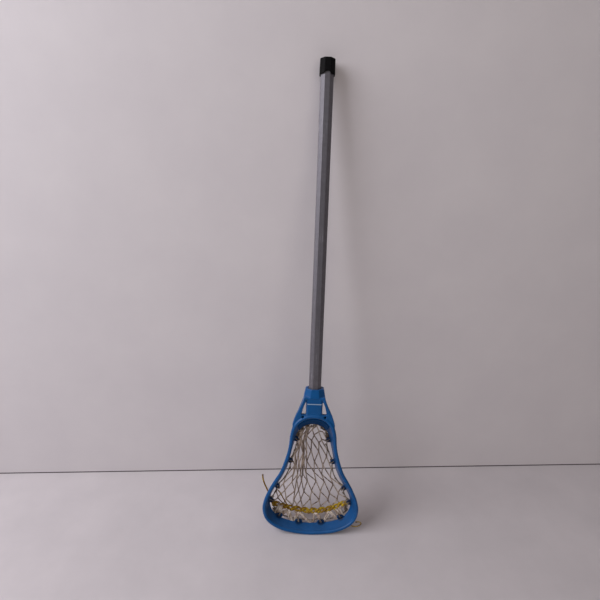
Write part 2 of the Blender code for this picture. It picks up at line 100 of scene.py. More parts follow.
# %%
# Camera
def make_camera(place, forward, up, lens):
    """A camera from where it stands, where it looks and which way is up."""
    forward = Vector(forward).normalized()
    right = forward.cross(Vector(up)).normalized()
    true_up = right.cross(forward)
    turn = Matrix((right, true_up, -forward)).transposed().to_4x4()
    camera = bpy.data.objects.new("camera", bpy.data.cameras.new("camera"))
    camera.data.lens = lens
    camera.data.sensor_width = 36.0
    camera.matrix_world = Matrix.Translation(at(place)) @ turn
    scene.collection.objects.link(camera)
    scene.camera = camera
    return camera


make_camera(
    place=(-31.43, -719.6, 472.85), forward=(0.00437, 0.99181, -0.12767),
    up=(-0.03392, 0.12774, 0.99123), lens=28.2,
)
print("camera at", [round(v, 3) for v in scene.camera.matrix_world.translation])

# %% [markdown]
# ## How cord is made here
#
# Almost everything soft on this stick is cord: net, lacing and the yellow string. A braided cord
# is a tube with a pattern that runs round and along it. Blender's curves can be bevelled into
# tubes, but a swept mesh lets each ring carry two coordinates, once round and so many braid
# repeats along, and the braid material reads those. The frame at each ring is turned from the last
# one as little as possible, so that the braid doesn't twist where the cord bends.

# %%
# Smooth routes and swept cords
def catmull_rom(before, start, end, after, t):
    """A point between start and end on the smooth curve through four points."""
    return 0.5 * (
        2 * start + (end - before) * t
        + (2 * before - 5 * start + 4 * end - after) * t * t
        + (3 * start - before - 3 * end + after) * t ** 3
    )


def smooth_route(points, steps):
    """A smooth open curve through points, with a number of steps for each span."""
    points = [np.array(p, float) for p in points]
    ends = [2 * points[0] - points[1]] + points + [2 * points[-1] - points[-2]]
    route = []
    for i in range(1, len(ends) - 2):
        for step in range(steps):
            route.append(catmull_rom(*ends[i - 1:i + 3], step / steps))
    route.append(points[-1])
    return np.array(route)


def directions(route):
    """The unit direction of travel at each point of a route."""
    along = np.gradient(route, axis=0)
    return along / np.maximum(np.linalg.norm(along, axis=1, keepdims=True), 1e-9)


def side_vectors(along):
    """For each point, a vector across the route that turns as little as it can."""
    helper = np.array((0.0, 0.0, 1.0)) if abs(along[0][2]) < 0.9 else np.array((1.0, 0.0, 0.0))
    across = [np.cross(along[0], helper)]
    for direction in along:
        kept = across[-1] - direction * (across[-1] @ direction)
        across.append(kept / max(np.linalg.norm(kept), 1e-9))
    return np.array(across[1:])


class CordMesh:
    """Gathers swept cords, in millimetres, into one mesh with braid coordinates."""

    def __init__(self, sides=8):
        self.sides, self.verts, self.faces, self.uvs = sides, [], [], []

    def sweep(self, route, radius, pitch=3.0):
        """Adds one cord with rounded ends; pitch is the length of a braid repeat."""
        route = np.asarray(route, float)
        along = directions(route)
        across = side_vectors(along)
        other = np.cross(along, across)
        radii = np.broadcast_to(np.asarray(radius, float), len(route)).copy()
        lengths = np.concatenate(([0.0], np.cumsum(np.linalg.norm(np.diff(route, axis=0), axis=1))))
        angles = np.arange(self.sides) * math.tau / self.sides
        ring = np.cos(angles)[None, :, None] * across[:, None]
        ring = ring + np.sin(angles)[None, :, None] * other[:, None]
        rings = route[:, None] + ring * radii[:, None, None]
        ends = [(0, -1.0), (-1, 1.0)]
        caps = [route[i] + along[i] * sign * radii[i] * 0.55 + ring[i] * radii[i] * 0.6 for i, sign in ends]
        rings = np.concatenate((caps[:1], rings, caps[1:]))
        lengths = np.concatenate((lengths[:1] - 0.5, lengths, lengths[-1:] + 0.5)) / pitch
        first = len(self.verts)
        self.verts.extend(rings.reshape(-1, 3).tolist())
        for r in range(len(rings) - 1):
            for s in range(self.sides):
                t = (s + 1) % self.sides
                a, b = first + r * self.sides, first + (r + 1) * self.sides
                self.faces.append((a + s, a + t, b + t, b + s))
                low, high = s / self.sides, (s + 1) / self.sides
                near, far = lengths[r], lengths[r + 1]
                self.uvs.extend(((low, near), (high, near), (high, far), (low, far)))
        last = first + (len(rings) - 1) * self.sides
        for start, order in ((first, -1), (last, 1)):
            self.faces.append(tuple(range(start, start + self.sides))[::order])
            self.uvs.extend([(0.5, lengths[0 if start == first else -1])] * self.sides)

    def make(self, name):
        """The finished object, smooth, with its braid coordinates in a UV layer."""
        mesh = bpy.data.meshes.new(name)
        mesh.from_pydata([at(v) for v in self.verts], [], self.faces)
        layer = mesh.uv_layers.new(name="braid")
        layer.data.foreach_set("uv", np.array(self.uvs, dtype=np.float32).ravel())
        mesh.shade_smooth()
        obj = bpy.data.objects.new(name, mesh)
        scene.collection.objects.link(obj)
        return obj


def route_length(route):
    """The length of a route, in the units it is given in."""
    return float(np.linalg.norm(np.diff(np.asarray(route), axis=0), axis=1).sum())


# %% [markdown]
# ## The two loose ends
#
# A player ties off the shooting string and leaves its ends hanging outside the head, where they
# can be pulled tight again. The left end stands up along the rim, because it is stiff with its
# braid, and the right end drops to the floor and curls. The cut is melted with a flame so that it
# doesn't fray, which leaves a hard dark bead.

# %%
# Loose string ends
TAIL_RADIUS = 1.3
BEAD_REACH, BEAD_RADII = (-1.5, -0.9, -0.2, 0.3), (1.34, 1.56, 1.5, 1.1)
LEFT_TAIL = (
    (-66.5, 19.2, 44), (-69.8, 20.2, 51.5), (-73.4, 20.6, 59), (-76.9, 20.6, 66.5),
    (-79.4, 20.2, 74.5), (-80.2, 19.6, 82.5),
)
RIGHT_TAIL = (
    (50, 11.8, 19), (54, 14.4, 14.2), (58.5, 14, 10.2), (63, 10, 7.3), (68, 5.4, 5.8),
    (74, 3.2, 5.2), (80, 4, 5.4), (84.8, 7, 6.1), (86, 10.4, 6.9), (82.6, 12.8, 7.4),
    (77.6, 12, 7.2),
)


def make_tail(name, node, points, steps):
    """One loose end: the cord, and the melted bead on it."""
    route = smooth_route(points, steps)
    cord = CordMesh(12)
    cord.sweep(route, TAIL_RADIUS, 3.2)
    tail = cord.make(name)
    along = directions(route)[-1]
    bead = CordMesh(12)
    bead.sweep([route[-1] + along * s for s in BEAD_REACH], BEAD_RADII, 3.0)
    tip = bead.make(name + "_melted_tip")
    for piece in (tail, tip):
        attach(piece, "stick")
    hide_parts(node)
    return tail, tip


left_tail, left_tip = make_tail("loose_end_left", "string_tail_left", LEFT_TAIL, 4)
right_tail, right_tip = make_tail("loose_end_right", "string_tail_right", RIGHT_TAIL, 3)

# %% [markdown]
# ## The outline of the head
#
# The head is one moulding that runs round the opening. Its front rail makes the wide outline that
# players see, and its back rail, which carries the netting, makes a narrower one. Both are smooth
# loops through matched points, so a station number names the same place on both. Every part of
# the stringing finds its place from a station on the back loop and a distance inward from it.

# %%
# The two outlines and a way to walk along them
FRONT_Y = -16.0
BACK_Y_SIDE, BACK_Y_SCOOP = 16.0, 6.0
FRONT_EDGE = (
    (0, 201.5), (12, 200), (22.5, 194.5), (30, 186.5), (34.6, 177), (36.8, 166), (38, 152),
    (40.2, 139), (45, 122), (51, 106), (59.5, 91.5), (67.3, 77), (74, 61), (77.2, 46),
    (75.6, 33), (69.5, 21.5), (59, 12.8), (44, 6), (24, 1.8), (0, 0),
)
BACK_EDGE = (
    (0, 177), (8.5, 175.6), (16, 172), (22, 166), (26, 159), (28.2, 151), (29.8, 143),
    (32.4, 133), (35.8, 117), (39.8, 101), (46.8, 85), (55, 71), (62.2, 58.5), (66.4, 46.5),
    (65.4, 35.5), (60.2, 26.5), (51.6, 20), (39, 14.6), (21.5, 11), (0, 9.8),
)
LOOP_SPANS = 2 * (len(FRONT_EDGE) - 1)


def mirrored_loop(right_half):
    """Closes a right-hand outline into a loop, down the right side and up the left."""
    return np.array(list(right_half) + [(-x, z) for x, z in right_half[-2:0:-1]], float)


FRONT_LOOP, BACK_LOOP = mirrored_loop(FRONT_EDGE), mirrored_loop(BACK_EDGE)


def loop_point(loop, station):
    """A point of the closed smooth curve through a loop, a station per control point."""
    whole = math.floor(station)
    corners = [loop[(whole + step) % len(loop)] for step in (-1, 0, 1, 2)]
    return catmull_rom(*corners, station - whole)


def outward(loop, station):
    """The loop's unit normal at a station, pointing away from the opening."""
    along = loop_point(loop, station + 0.05) - loop_point(loop, station - 0.05)
    along /= np.linalg.norm(along)
    return np.array((-along[1], along[0]))


def smooth_step(value, low, high):
    """Rises smoothly from 0 at low to 1 at high."""
    t = np.clip((value - low) / (high - low), 0.0, 1.0)
    return t * t * (3 - 2 * t)


def back_face(height):
    """How far back the rim's back face lies: shallow at the scoop, deep above."""
    return BACK_Y_SCOOP + (BACK_Y_SIDE - BACK_Y_SCOOP) * smooth_step(height, 12, 60)


def on_rail(station, inset, behind):
    """A point by its station, its distance inward of the back rail, and behind its back face."""
    place, out = loop_point(BACK_LOOP, station), outward(BACK_LOOP, station)
    x, z = place - out * inset
    return np.array((x, back_face(place[1]) + behind, z))


outline_points = [loop_point(FRONT_LOOP, s / 4) for s in range(4 * LOOP_SPANS)]
print("outline", round(route_length(outline_points)), "mm round")

# %% [markdown]
# ## Moulding the head
#
# A moulded head has no sharp inside corner: plastic flows round fillets, and every edge is eased
# so that it leaves the mould. Bevelling joined solids would need clean edges where a dozen shapes
# meet. Here the solids only overlap, and a voxel remesh fuses them into one even skin. A few passes
# of smoothing then ease every edge and fill every corner by about a millimetre, as the mould does.
# Cutting is done first, on each simple solid, where it is quick and safe.

# %%
# Helpers for solids
def object_from_bmesh(name, made):
    """Links a bmesh, given in millimetres from the scoop, as an object in the model's metres."""
    bmesh.ops.recalc_face_normals(made, faces=made.faces)
    for vert in made.verts:
        vert.co = at(vert.co)
    mesh = bpy.data.meshes.new(name)
    made.to_mesh(mesh)
    made.free()
    obj = bpy.data.objects.new(name, mesh)
    scene.collection.objects.link(obj)
    return obj


def loft(sections, closed=False):
    """Skins a row of matching rings; an open row is capped, a closed row joins its ends."""
    made = bmesh.new()
    rings = [[made.verts.new(p) for p in ring] for ring in sections]
    pairs = list(zip(rings, rings[1:]))
    if closed:
        pairs.append((rings[-1], rings[0]))
    else:
        made.faces.new(rings[0])
        made.faces.new(rings[-1][::-1])
    for first, second in pairs:
        for i in range(len(first)):
            j = (i + 1) % len(first)
            made.faces.new((first[i], second[i], second[j], first[j]))
    return made


def prism(outline, low, high, axis):
    """A flat outline pushed along an axis: 'Y' takes (x, z) points and 'X' takes (y, z)."""
    def place(a, b, level):
        return (a, level, b) if axis == "Y" else (level, a, b)
    return loft([[place(a, b, level) for a, b in outline] for level in (low, high)])


def rod(radius, length, centre, segments=32):
    """A cylinder along Y."""
    made = bmesh.new()
    bmesh.ops.create_cone(
        made, cap_ends=True, segments=segments, radius1=radius, radius2=radius, depth=length,
        matrix=Matrix.Translation(Vector(centre)) @ Matrix.Rotation(math.radians(-90), 4, "X"),
    )
    return made


def octagon(across, low, high, end_across=None, flatten=1.0):
    """An eight-sided bar on the stick's axis, with a flat facing front."""
    rings = []
    for reach, level in ((across, low), (end_across or across, high)):
        corner = reach / 2 / math.cos(math.pi / 8)
        turns = [math.pi / 8 + i * math.pi / 4 for i in range(8)]
        rings.append([(corner * math.cos(t), corner * flatten * math.sin(t), level) for t in turns])
    return loft(rings)


def evaluated(obj):
    """A new mesh that holds an object as its modifiers leave it."""
    bpy.context.view_layer.update()
    return bpy.data.meshes.new_from_object(obj.evaluated_get(bpy.context.evaluated_depsgraph_get()))


def cut(obj, tools):
    """Cuts tools out of a solid for good, and removes them."""
    for tool in tools:
        modifier = obj.modifiers.new("cut", "BOOLEAN")
        modifier.operation, modifier.solver, modifier.object = "DIFFERENCE", "EXACT", tool
    mesh = evaluated(obj)
    obj.modifiers.clear()
    obj.data = mesh
    for tool in tools:
        bpy.data.objects.remove(tool)
    return obj


def fuse(name, solids, voxel, rounds, keep):
    """Melts overlapping solids into one moulding: remesh, ease the edges, then thin the mesh."""
    joined = bmesh.new()
    for solid in solids:
        joined.from_mesh(solid.data)
        bpy.data.objects.remove(solid)
    mesh = bpy.data.meshes.new(name)
    joined.to_mesh(mesh)
    joined.free()
    obj = bpy.data.objects.new(name, mesh)
    scene.collection.objects.link(obj)
    melt = obj.modifiers.new("melt", "REMESH")
    melt.mode, melt.voxel_size = "VOXEL", voxel * MM
    ease = obj.modifiers.new("ease", "SMOOTH")
    ease.factor, ease.iterations = 0.5, rounds
    thin = obj.modifiers.new("thin", "DECIMATE")
    thin.ratio = keep
    obj.data = evaluated(obj)
    obj.modifiers.clear()
    obj.data.name = name
    obj.data.shade_smooth()
    return obj


# %%
# The rim: front rail, wall and back rail
FRONT_RAIL, BACK_RAIL, WALL = 6.0, 5.0, 2.8
RAIL_EDGE = 1.9
FRONT_RAIL_DEPTH, BACK_RAIL_DEPTH = 4.2, 4.6


def rim_section(station):
    """One ring round the rim's section."""
    front, front_out = loop_point(FRONT_LOOP, station), outward(FRONT_LOOP, station)
    back, back_out = loop_point(BACK_LOOP, station), outward(BACK_LOOP, station)
    back_y = back_face(back[1])
    foot, head = FRONT_Y + FRONT_RAIL_DEPTH, back_y - BACK_RAIL_DEPTH
    from_front = [
        (0, FRONT_Y + RAIL_EDGE), (RAIL_EDGE, FRONT_Y), (FRONT_RAIL - RAIL_EDGE, FRONT_Y),
        (FRONT_RAIL, FRONT_Y + RAIL_EDGE), (FRONT_RAIL, foot - RAIL_EDGE), (FRONT_RAIL - 1, foot),
    ]
    from_back = [
        (1, head), (0, head + RAIL_EDGE), (0, back_y - RAIL_EDGE), (RAIL_EDGE, back_y),
        (BACK_RAIL - RAIL_EDGE, back_y), (BACK_RAIL, back_y - RAIL_EDGE),
        (BACK_RAIL, head + RAIL_EDGE), (1 + WALL, head),
    ]
    last = [(FRONT_RAIL - 1 - WALL, foot), (0, foot - RAIL_EDGE)]

    def place(edge, out, shift, y):
        x, z = edge + out * shift
        return (x, y, z)

    ring = [place(front, front_out, -inset, y) for inset, y in from_front]
    ring += [place(back, back_out, outset, y) for outset, y in from_back]
    return ring + [place(front, front_out, -inset, y) for inset, y in last]


RIM_STEPS = 5
rim_sections = [rim_section(i / RIM_STEPS) for i in range(RIM_STEPS * LOOP_SPANS)]
rim = object_from_bmesh("rim", loft(rim_sections, True))
print("rim", len(rim.data.vertices), "points before it is fused")

# %%
# The throat: web, struts, socket column and collar
COLLAR_FOOT, COLLAR_TOP = 228.0, 241.5
COLLAR_HALF_FOOT, COLLAR_HALF_TOP = 16.9, 14.2
COLUMN_HALF, COLUMN_FRONT, COLUMN_BACK = 12.7, -13.0, 13.4
COLUMN_FRONT_FOOT, COLUMN_BACK_FOOT = 199.0, 181.0
LEDGE_HEIGHT, LEDGE, LIP, UNDERCUT = 218.6, 1.0, 0.9, 3.2
WEB_FRONT, WEB_BACK = -14.2, -6.4
STRUT_BACK, STRUT_WIDTH, STRUT_LEAN = 9.0, 4.2, 4.6
STRUT_EDGE = ((16.4, 229.5), (18.4, 222), (21.2, 215), (24.6, 208), (28.2, 200.5), (31.4, 192), (33.6, 184))
STRUT_FOOT = (34.8, 175.5)
WEB_ARCH = ((31.6, 178.5), (27.4, 185.4), (20.4, 192), (10.8, 197), (0, 198.4))
WINDOW = ((11, 226), (15.3, 226), (15.3, 219.5), (20.2, 201.2), (11, 201.2))
LACE_HOLE, LACE_RADIUS, LACE_DEPTH = (17.6, 197.6), 2.0, 8.0
THROUGH = 20
SHAFT_ACROSS, SOCKET_PLAY = 19.05, 0.7
SOCKET_FOOT = 199.7
SCREW_HEIGHT, SCREW_BORE, SCREW_BORE_LENGTH = 211.0, 2.1, 12


def lace_hole(side):
    """The cutter for one lacing hole of the throat, which ends inside the plastic."""
    x, z = LACE_HOLE
    return object_from_bmesh("tool", rod(LACE_RADIUS, 2 * LACE_DEPTH, (side * x, FRONT_Y, z)))


def make_web():
    """The throat's front plate, with its two windows and its two lacing holes."""
    half = list(STRUT_EDGE) + list(WEB_ARCH)
    web = object_from_bmesh("web", prism(half + [(-x, z) for x, z in half[-2::-1]], WEB_FRONT, WEB_BACK, "Y"))
    tools = []
    for side in (-1, 1):
        window = [(side * x, z) for x, z in WINDOW]
        tools.append(object_from_bmesh("tool", prism(window, -THROUGH, THROUGH, "Y")))
        tools.append(lace_hole(side))
    return cut(web, tools)


def make_strut(side):
    """One strut, leaning inward at its back as the side wall does."""
    sections = []
    for x, z in STRUT_EDGE + (STRUT_FOOT,):
        lean = STRUT_LEAN * smooth_step(-z, -COLLAR_FOOT, -STRUT_FOOT[1])
        front, back = x - 0.5, x - 0.5 - lean
        corners = [
            (front, WEB_FRONT + 0.4), (front - STRUT_WIDTH, WEB_FRONT + 0.4),
            (back - STRUT_WIDTH, STRUT_BACK), (back, STRUT_BACK),
        ]
        sections.append([(side * across, y, z) for across, y in corners])
    return object_from_bmesh("strut", loft(sections))


def make_socket():
    """The column and collar that take the shaft, bored out to its octagon."""
    lip, ledge, undercut = COLUMN_FRONT - LIP, COLUMN_FRONT + LEDGE, COLUMN_FRONT + UNDERCUT
    outline = [
        (COLUMN_FRONT + 0.02, COLUMN_FRONT_FOOT), (COLUMN_FRONT, LEDGE_HEIGHT - 2.0),
        (lip, LEDGE_HEIGHT - 1.0), (lip, LEDGE_HEIGHT - 0.4),
        (ledge, LEDGE_HEIGHT + 0.9), (ledge, COLLAR_FOOT - 3.0),
        (undercut, COLLAR_FOOT - 2.6), (undercut, COLLAR_FOOT + 2),
        (COLUMN_BACK, COLLAR_FOOT + 2), (COLUMN_BACK, COLUMN_BACK_FOOT),
    ]
    column = object_from_bmesh("column", prism(outline, -COLUMN_HALF, COLUMN_HALF, "X"))
    collar = object_from_bmesh(
        "collar", octagon(2 * COLLAR_HALF_FOOT, COLLAR_FOOT, COLLAR_TOP, 2 * COLLAR_HALF_TOP, 0.9)
    )
    for solid in (column, collar):
        bore = octagon(SHAFT_ACROSS + SOCKET_PLAY, SOCKET_FOOT, COLLAR_TOP + 5)
        tools = [object_from_bmesh("tool", bore)]
        if solid is column:
            screw_bore = rod(SCREW_BORE, SCREW_BORE_LENGTH, (0, COLUMN_BACK, SCREW_HEIGHT))
            tools.append(object_from_bmesh("tool", screw_bore))
        cut(solid, tools)
    return [column, collar]


cut(rim, [lace_hole(-1), lace_hole(1)])
throat = [make_web(), make_strut(-1), make_strut(1)] + make_socket()
print("throat", len(throat), "solids")

# %%
# The lugs that hold the lacing, each with its eyelet
LUG_STATIONS = (5.05, 8.25, 11.2, 13.2, 16.0, 18.15)
LUG_RADIUS, LUG_INSET, EYELET_RADIUS = 4.1, 1.9, 1.5
LUG_FRONT, LUG_BACK, LUG_SIDES = 5.2, 1.3, 28
SIDE_LUGS_END, SCOOP_LUG_WIDTH = 14.7, 1.5
# Painted shade round the lugs: full within the first distance from a lug, gone past the second, in
# millimetres
LUG_SHADE_FULL, LUG_SHADE_END = 4.6, 7.4


def make_lug(station, side):
    """A ring on the back rail: a rectangle turned round the eyelet's centre."""
    x, back_y, z = on_rail(station, LUG_INSET, 0)
    wide = SCOOP_LUG_WIDTH if station > SIDE_LUGS_END else 1.0
    profile = [
        (EYELET_RADIUS, back_y - LUG_FRONT + 0.3), (EYELET_RADIUS + 0.3, back_y - LUG_FRONT),
        (LUG_RADIUS - 0.4, back_y - LUG_FRONT), (LUG_RADIUS, back_y - LUG_FRONT + 0.4),
        (LUG_RADIUS, back_y - LUG_BACK), (EYELET_RADIUS, back_y - LUG_BACK),
    ]
    rings = []
    for i in range(LUG_SIDES):
        turn = math.tau * i / LUG_SIDES
        rings.append([(side * x + wide * r * math.cos(turn), y, z + r * math.sin(turn)) for r, y in profile])
    return object_from_bmesh("lug", loft(rings, True))


def mark_lug_shade(obj):
    """Stores how near each point is to a lug, for the painted shade round each lug."""
    centres = []
    for station in LUG_STATIONS:
        x, back_y, z = on_rail(station, LUG_INSET, 0)
        centres += [at((side * x, back_y - LUG_FRONT / 2, z)) for side in (-1, 1)]
    centres = np.array(centres)
    points = np.empty(len(obj.data.vertices) * 3)
    obj.data.vertices.foreach_get("co", points)
    away = np.min(np.linalg.norm(points.reshape(-1, 1, 3) - centres[None], axis=2), axis=1) / MM
    marks = obj.data.attributes.new("lug_grime", "FLOAT", "POINT")
    marks.data.foreach_set("value", np.interp(away, (LUG_SHADE_FULL, LUG_SHADE_END), (1.0, 0.0)))


lugs = [make_lug(station, side) for side in (-1, 1) for station in LUG_STATIONS]
head = fuse("moulded_head", [rim] + throat + lugs, voxel=0.72, rounds=3, keep=0.42)
mark_lug_shade(head)
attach(head, "stick")
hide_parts("head_frame")
print("head", len(head.data.polygons), "faces after fusing", len(lugs), "lugs on")

# %% [markdown]
# ## The foam on the ball stop
#
# Under the throat arch a strip of closed-cell foam softens the stop where the ball lands. It is
# die-cut flat and glued on, so it follows the arch and its edges are crisp but pressed round. A
# lofted strip is melted at a finer voxel than the head, which rounds it without losing its shape.

# %%
# Ball stop pad, from shares across the arch's inner face and heights off it
PAD_SECTION = ((0.12, 0.3), (0.9, 0.3), (0.86, 2.5), (0.16, 2.5))
PAD_STEPS, PAD_SPAN, PAD_AIM = 30, 0.1, 130.0


def make_pad():
    """A rounded strip of foam along the slanting inner face of the throat arch."""
    def corner(ring, share, lift):
        front, back = np.array(ring[5]), np.array(ring[6])
        face = back - front
        centre = np.array((0.0, (front[1] + back[1]) / 2, PAD_AIM))
        inward = centre - (front + back) / 2
        inward -= face * (inward @ face) / (face @ face)
        return front + face * share + inward / np.linalg.norm(inward) * lift

    sections = []
    for i in range(-PAD_STEPS, PAD_STEPS + 1):
        ring = rim_section(i * PAD_SPAN)
        sections.append([corner(ring, share, lift) for share, lift in PAD_SECTION])
    strip = object_from_bmesh("strip", loft(sections))
    return fuse("foam_pad", [strip], voxel=0.4, rounds=3, keep=0.6)


pad = make_pad()
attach(pad, "stick")
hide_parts("ball_stop_pad")
print("foam pad", len(pad.data.polygons), "faces")

# %% [markdown]
# ## The shaft and its screw
#
# An extruded shaft is already right as an octagonal tube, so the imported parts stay. What an
# extrusion never has is a razor edge: its die leaves each corner with a small radius. A weld and a
# bevel modifier add that without touching the mesh underneath.

# %%
# Eased edges on the two metal parts
def ease_edges(node, width, segments):
    """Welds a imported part's corners and rounds its sharp edges."""
    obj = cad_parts[node]
    weld = obj.modifiers.new("weld", "WELD")
    weld.merge_threshold = 0.00001
    bevel = obj.modifiers.new("eased_edges", "BEVEL")
    bevel.width, bevel.segments = width * MM, segments
    bevel.limit_method, bevel.angle_limit = "ANGLE", math.radians(30)
    bevel.harden_normals = True
    return obj


shaft = ease_edges("shaft", 0.9, 4)
screw = ease_edges("head_screw", 0.18, 2)

# %% [markdown]
# ## The rubber cap
#
# The cap is dipped or moulded rubber, stretched over the butt of the shaft. It has thick rounded
# corners, a soft crown on its closed end, and a hem that is cut back in an arc on the front and
# back so that a thumb can peel it off. It is lofted from rounded octagons that follow one profile,
# outside from hem to crown and then down the inside, so the wall has its real thickness. A plain
# raised frame on the front is pressed out of the same rings.

# %%
# End cap
CAP_TOP = 733.0
CAP_ACROSS, CAP_END, CAP_SKIRT = 22.6, 2.6, 20.0
CAP_SEAT = CAP_TOP - CAP_END
CAP_CORNER, CAP_WAIST, CROWN = 1.9, 0.25, 1.4
HEM_RADIUS, HEM_CENTRE = 6.0, -22.6
FRAME_HALF_WIDE, FRAME_HALF_HIGH, FRAME_DROP, FRAME_LIFT = 4.6, 3.9, 6.6, 0.28
SKIRT_STEPS, SKIRT_SHARE = 26, 0.92
CORNER_STEPS, FLAT_STEPS = 5, 9


def rounded_octagon(across, corner):
    """The outline of an octagon with its corners rounded off, as many (x, y) points."""
    points = []
    to_corner = (across / 2 - corner) / math.cos(math.pi / 8)
    for i in range(8):
        middle = math.pi / 8 + i * math.pi / 4
        centre = np.array((math.cos(middle), math.sin(middle))) * to_corner
        for step in range(CORNER_STEPS):
            turn = middle + math.pi / 8 * (2 * step / (CORNER_STEPS - 1) - 1)
            points.append(centre + corner * np.array((math.cos(turn), math.sin(turn))))
        ahead = math.pi / 8 + (i + 1) * math.pi / 4
        end = np.array((math.cos(ahead), math.sin(ahead))) * to_corner
        end = end + corner * np.array((math.cos(ahead - math.pi / 8), math.sin(ahead - math.pi / 8)))
        start = points[-1]
        points.extend(start + (end - start) * s / (FLAT_STEPS + 1) for s in range(1, FLAT_STEPS + 1))
    return points


def hem_height(x):
    """Where the hem is at a point across the cap: cut back in an arc at the middle."""
    arc = HEM_CENTRE + math.sqrt(max(HEM_RADIUS ** 2 - x * x, 0.0))
    return max(-CAP_SKIRT, arc)


def raised_frame(x, z):
    """How far the plain frame on the front stands out at a place, from 0 to 1."""
    across, up = abs(x) / FRAME_HALF_WIDE, abs(z + FRAME_DROP) / FRAME_HALF_HIGH
    edge = (across ** 4 + up ** 4) ** 0.25
    return float(smooth_step(edge, 0.74, 0.82) - smooth_step(edge, 0.94, 1.02))


def make_cap():
    """The cap as one closed shell of rings."""
    waist = CAP_ACROSS - CAP_WAIST
    outer = [(CAP_ACROSS - 0.5, 0.0), (CAP_ACROSS - 0.1, 0.025), (CAP_ACROSS, 0.06), (CAP_ACROSS, 0.11)]
    outer += [(waist, 0.16)]
    for s in range(SKIRT_STEPS + 1):
        outer.append((waist - 0.35 * s / SKIRT_STEPS, 0.18 + 0.74 * s / SKIRT_STEPS))
    crown_turns = np.radians((15, 35, 55, 75, 90))
    crown = [(CROWN * (1 - math.cos(a)), CROWN * math.sin(a)) for a in crown_turns]
    rings = []
    for across, share in outer:
        ring = []
        for x, y in rounded_octagon(across, CAP_CORNER):
            hem = hem_height(x)
            z = hem + (CAP_END - CROWN - hem) * share / SKIRT_SHARE
            on_front = y < 0 and abs(x) < FRAME_HALF_WIDE
            lift = FRAME_LIFT * raised_frame(x, z) if on_front else 0.0
            ring.append((x, y - lift, CAP_SEAT + z))
        rings.append(ring)
    for inset, rise in crown:
        outline = rounded_octagon(CAP_ACROSS - 0.6 - 2 * inset, CAP_CORNER)
        rings.append([(x, y, CAP_SEAT + CAP_END - CROWN + rise) for x, y in outline])
    for across, drop in ((18.4, 0.0), (17.6, 0.35), (10.0, 0.4), (2.0, 0.4)):
        scale, level = across / CAP_ACROSS, CAP_SEAT + CAP_END - drop
        outline = rounded_octagon(CAP_ACROSS, CAP_CORNER)
        rings.append([(x * scale, y * scale, level) for x, y in outline])
    inner = []
    for across, top in ((2.0, 0), (SHAFT_ACROSS + 0.2, 0), (SHAFT_ACROSS + 0.6, -0.8)):
        inner.append([(x, y, CAP_SEAT + top) for x, y in rounded_octagon(across, min(1.0, across / 4))])
    hems = []
    for x, y in rounded_octagon(SHAFT_ACROSS + 0.6, 1.0):
        hems.append((x, y, CAP_SEAT + hem_height(x) + 0.25))
    inner.append(hems)
    return loft_shell(rings, inner)


def loft_shell(outside, inside):
    """Skins the outside up, the inside down, and joins the two at the hem."""
    made = bmesh.new()
    rows = [[made.verts.new(p) for p in ring] for ring in outside]
    rows_inside = [[made.verts.new(p) for p in ring] for ring in inside]
    made.faces.new(rows[-1])
    made.faces.new(rows_inside[0][::-1])
    pairs = list(zip(rows, rows[1:])) + list(zip(rows_inside, rows_inside[1:]))
    pairs.append((rows_inside[-1], rows[0]))
    for first, second in pairs:
        for i in range(len(first)):
            j = (i + 1) % len(first)
            made.faces.new((first[i], first[j], second[j], second[i]))
    return made


cap = object_from_bmesh("rubber_cap", make_cap())
cap.data.shade_smooth()
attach(cap, "cap")
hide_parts("end_cap")
print("cap", len(cap.data.polygons), "faces")

# %% [markdown]
# ## The netting
#
# Pocket net is knitted without knots: each cord zigzags, and where it meets its neighbour the two
# run side by side for a few millimetres. Here the net is laid out flat as columns and rows first.
# Each column's share of the width then says where it is slack and where it is pulled open, because
# this pocket was strung unevenly: open diamonds on the right, and a gathered fold down the left.
# Last, every point is dropped on to the bag's surface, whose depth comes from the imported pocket.

# %%
# The bag's surface
POCKET_CENTRE = np.array((0.0, 72.0))
POCKET_SAG, POCKET_INSET, BEHIND = 19.0, 4.8, 1.8


def bag_table():
    """For each bearing from the pocket's deepest point: how far its edge is, and how deep."""
    rows = []
    for s in range(8 * LOOP_SPANS):
        x, y, z = on_rail(s / 8, POCKET_INSET, BEHIND)
        away = np.array((x, z)) - POCKET_CENTRE
        rows.append((math.atan2(away[0], away[1]), math.hypot(*away), y))
    rows.sort()
    return np.array(rows)


BAG = bag_table()


def bag_depth(x, z):
    """The y of the bag's surface behind a place in the opening."""
    away = np.array((x, z)) - POCKET_CENTRE
    bearing, reach = math.atan2(away[0], away[1]), math.hypot(*away)
    edge_reach = np.interp(bearing, BAG[:, 0], BAG[:, 1], period=math.tau)
    edge_y = np.interp(bearing, BAG[:, 0], BAG[:, 2], period=math.tau)
    middle_y = back_face(POCKET_CENTRE[1]) + BEHIND + POCKET_SAG
    return middle_y + (edge_y - middle_y) * min(reach / edge_reach, 1.06) ** 2


print("deepest point of the bag at y", round(float(bag_depth(0.01, 72)), 1), "mm")

# %%
# The net's four edges, scalloped between the lugs
SIDE_TOP, SIDE_FOOT = 4.6, 14.6
SIDE_ANCHORS = (4.6, 5.05, 8.25, 11.2, 13.2, 14.6)
NET_MARGIN, SCALLOP, LEFT_SCALLOP = 4.2, 4.2, 0.55
END_STEPS = 80


def scallop(station):
    """How far the net's side pulls inward, from 0 at a lug to 1 half way between two."""
    for low, high in zip(SIDE_ANCHORS, SIDE_ANCHORS[1:]):
        if low <= station <= high and high - low > 1:
            return math.sin(math.pi * (station - low) / (high - low)) ** 1.3
    return 0.0


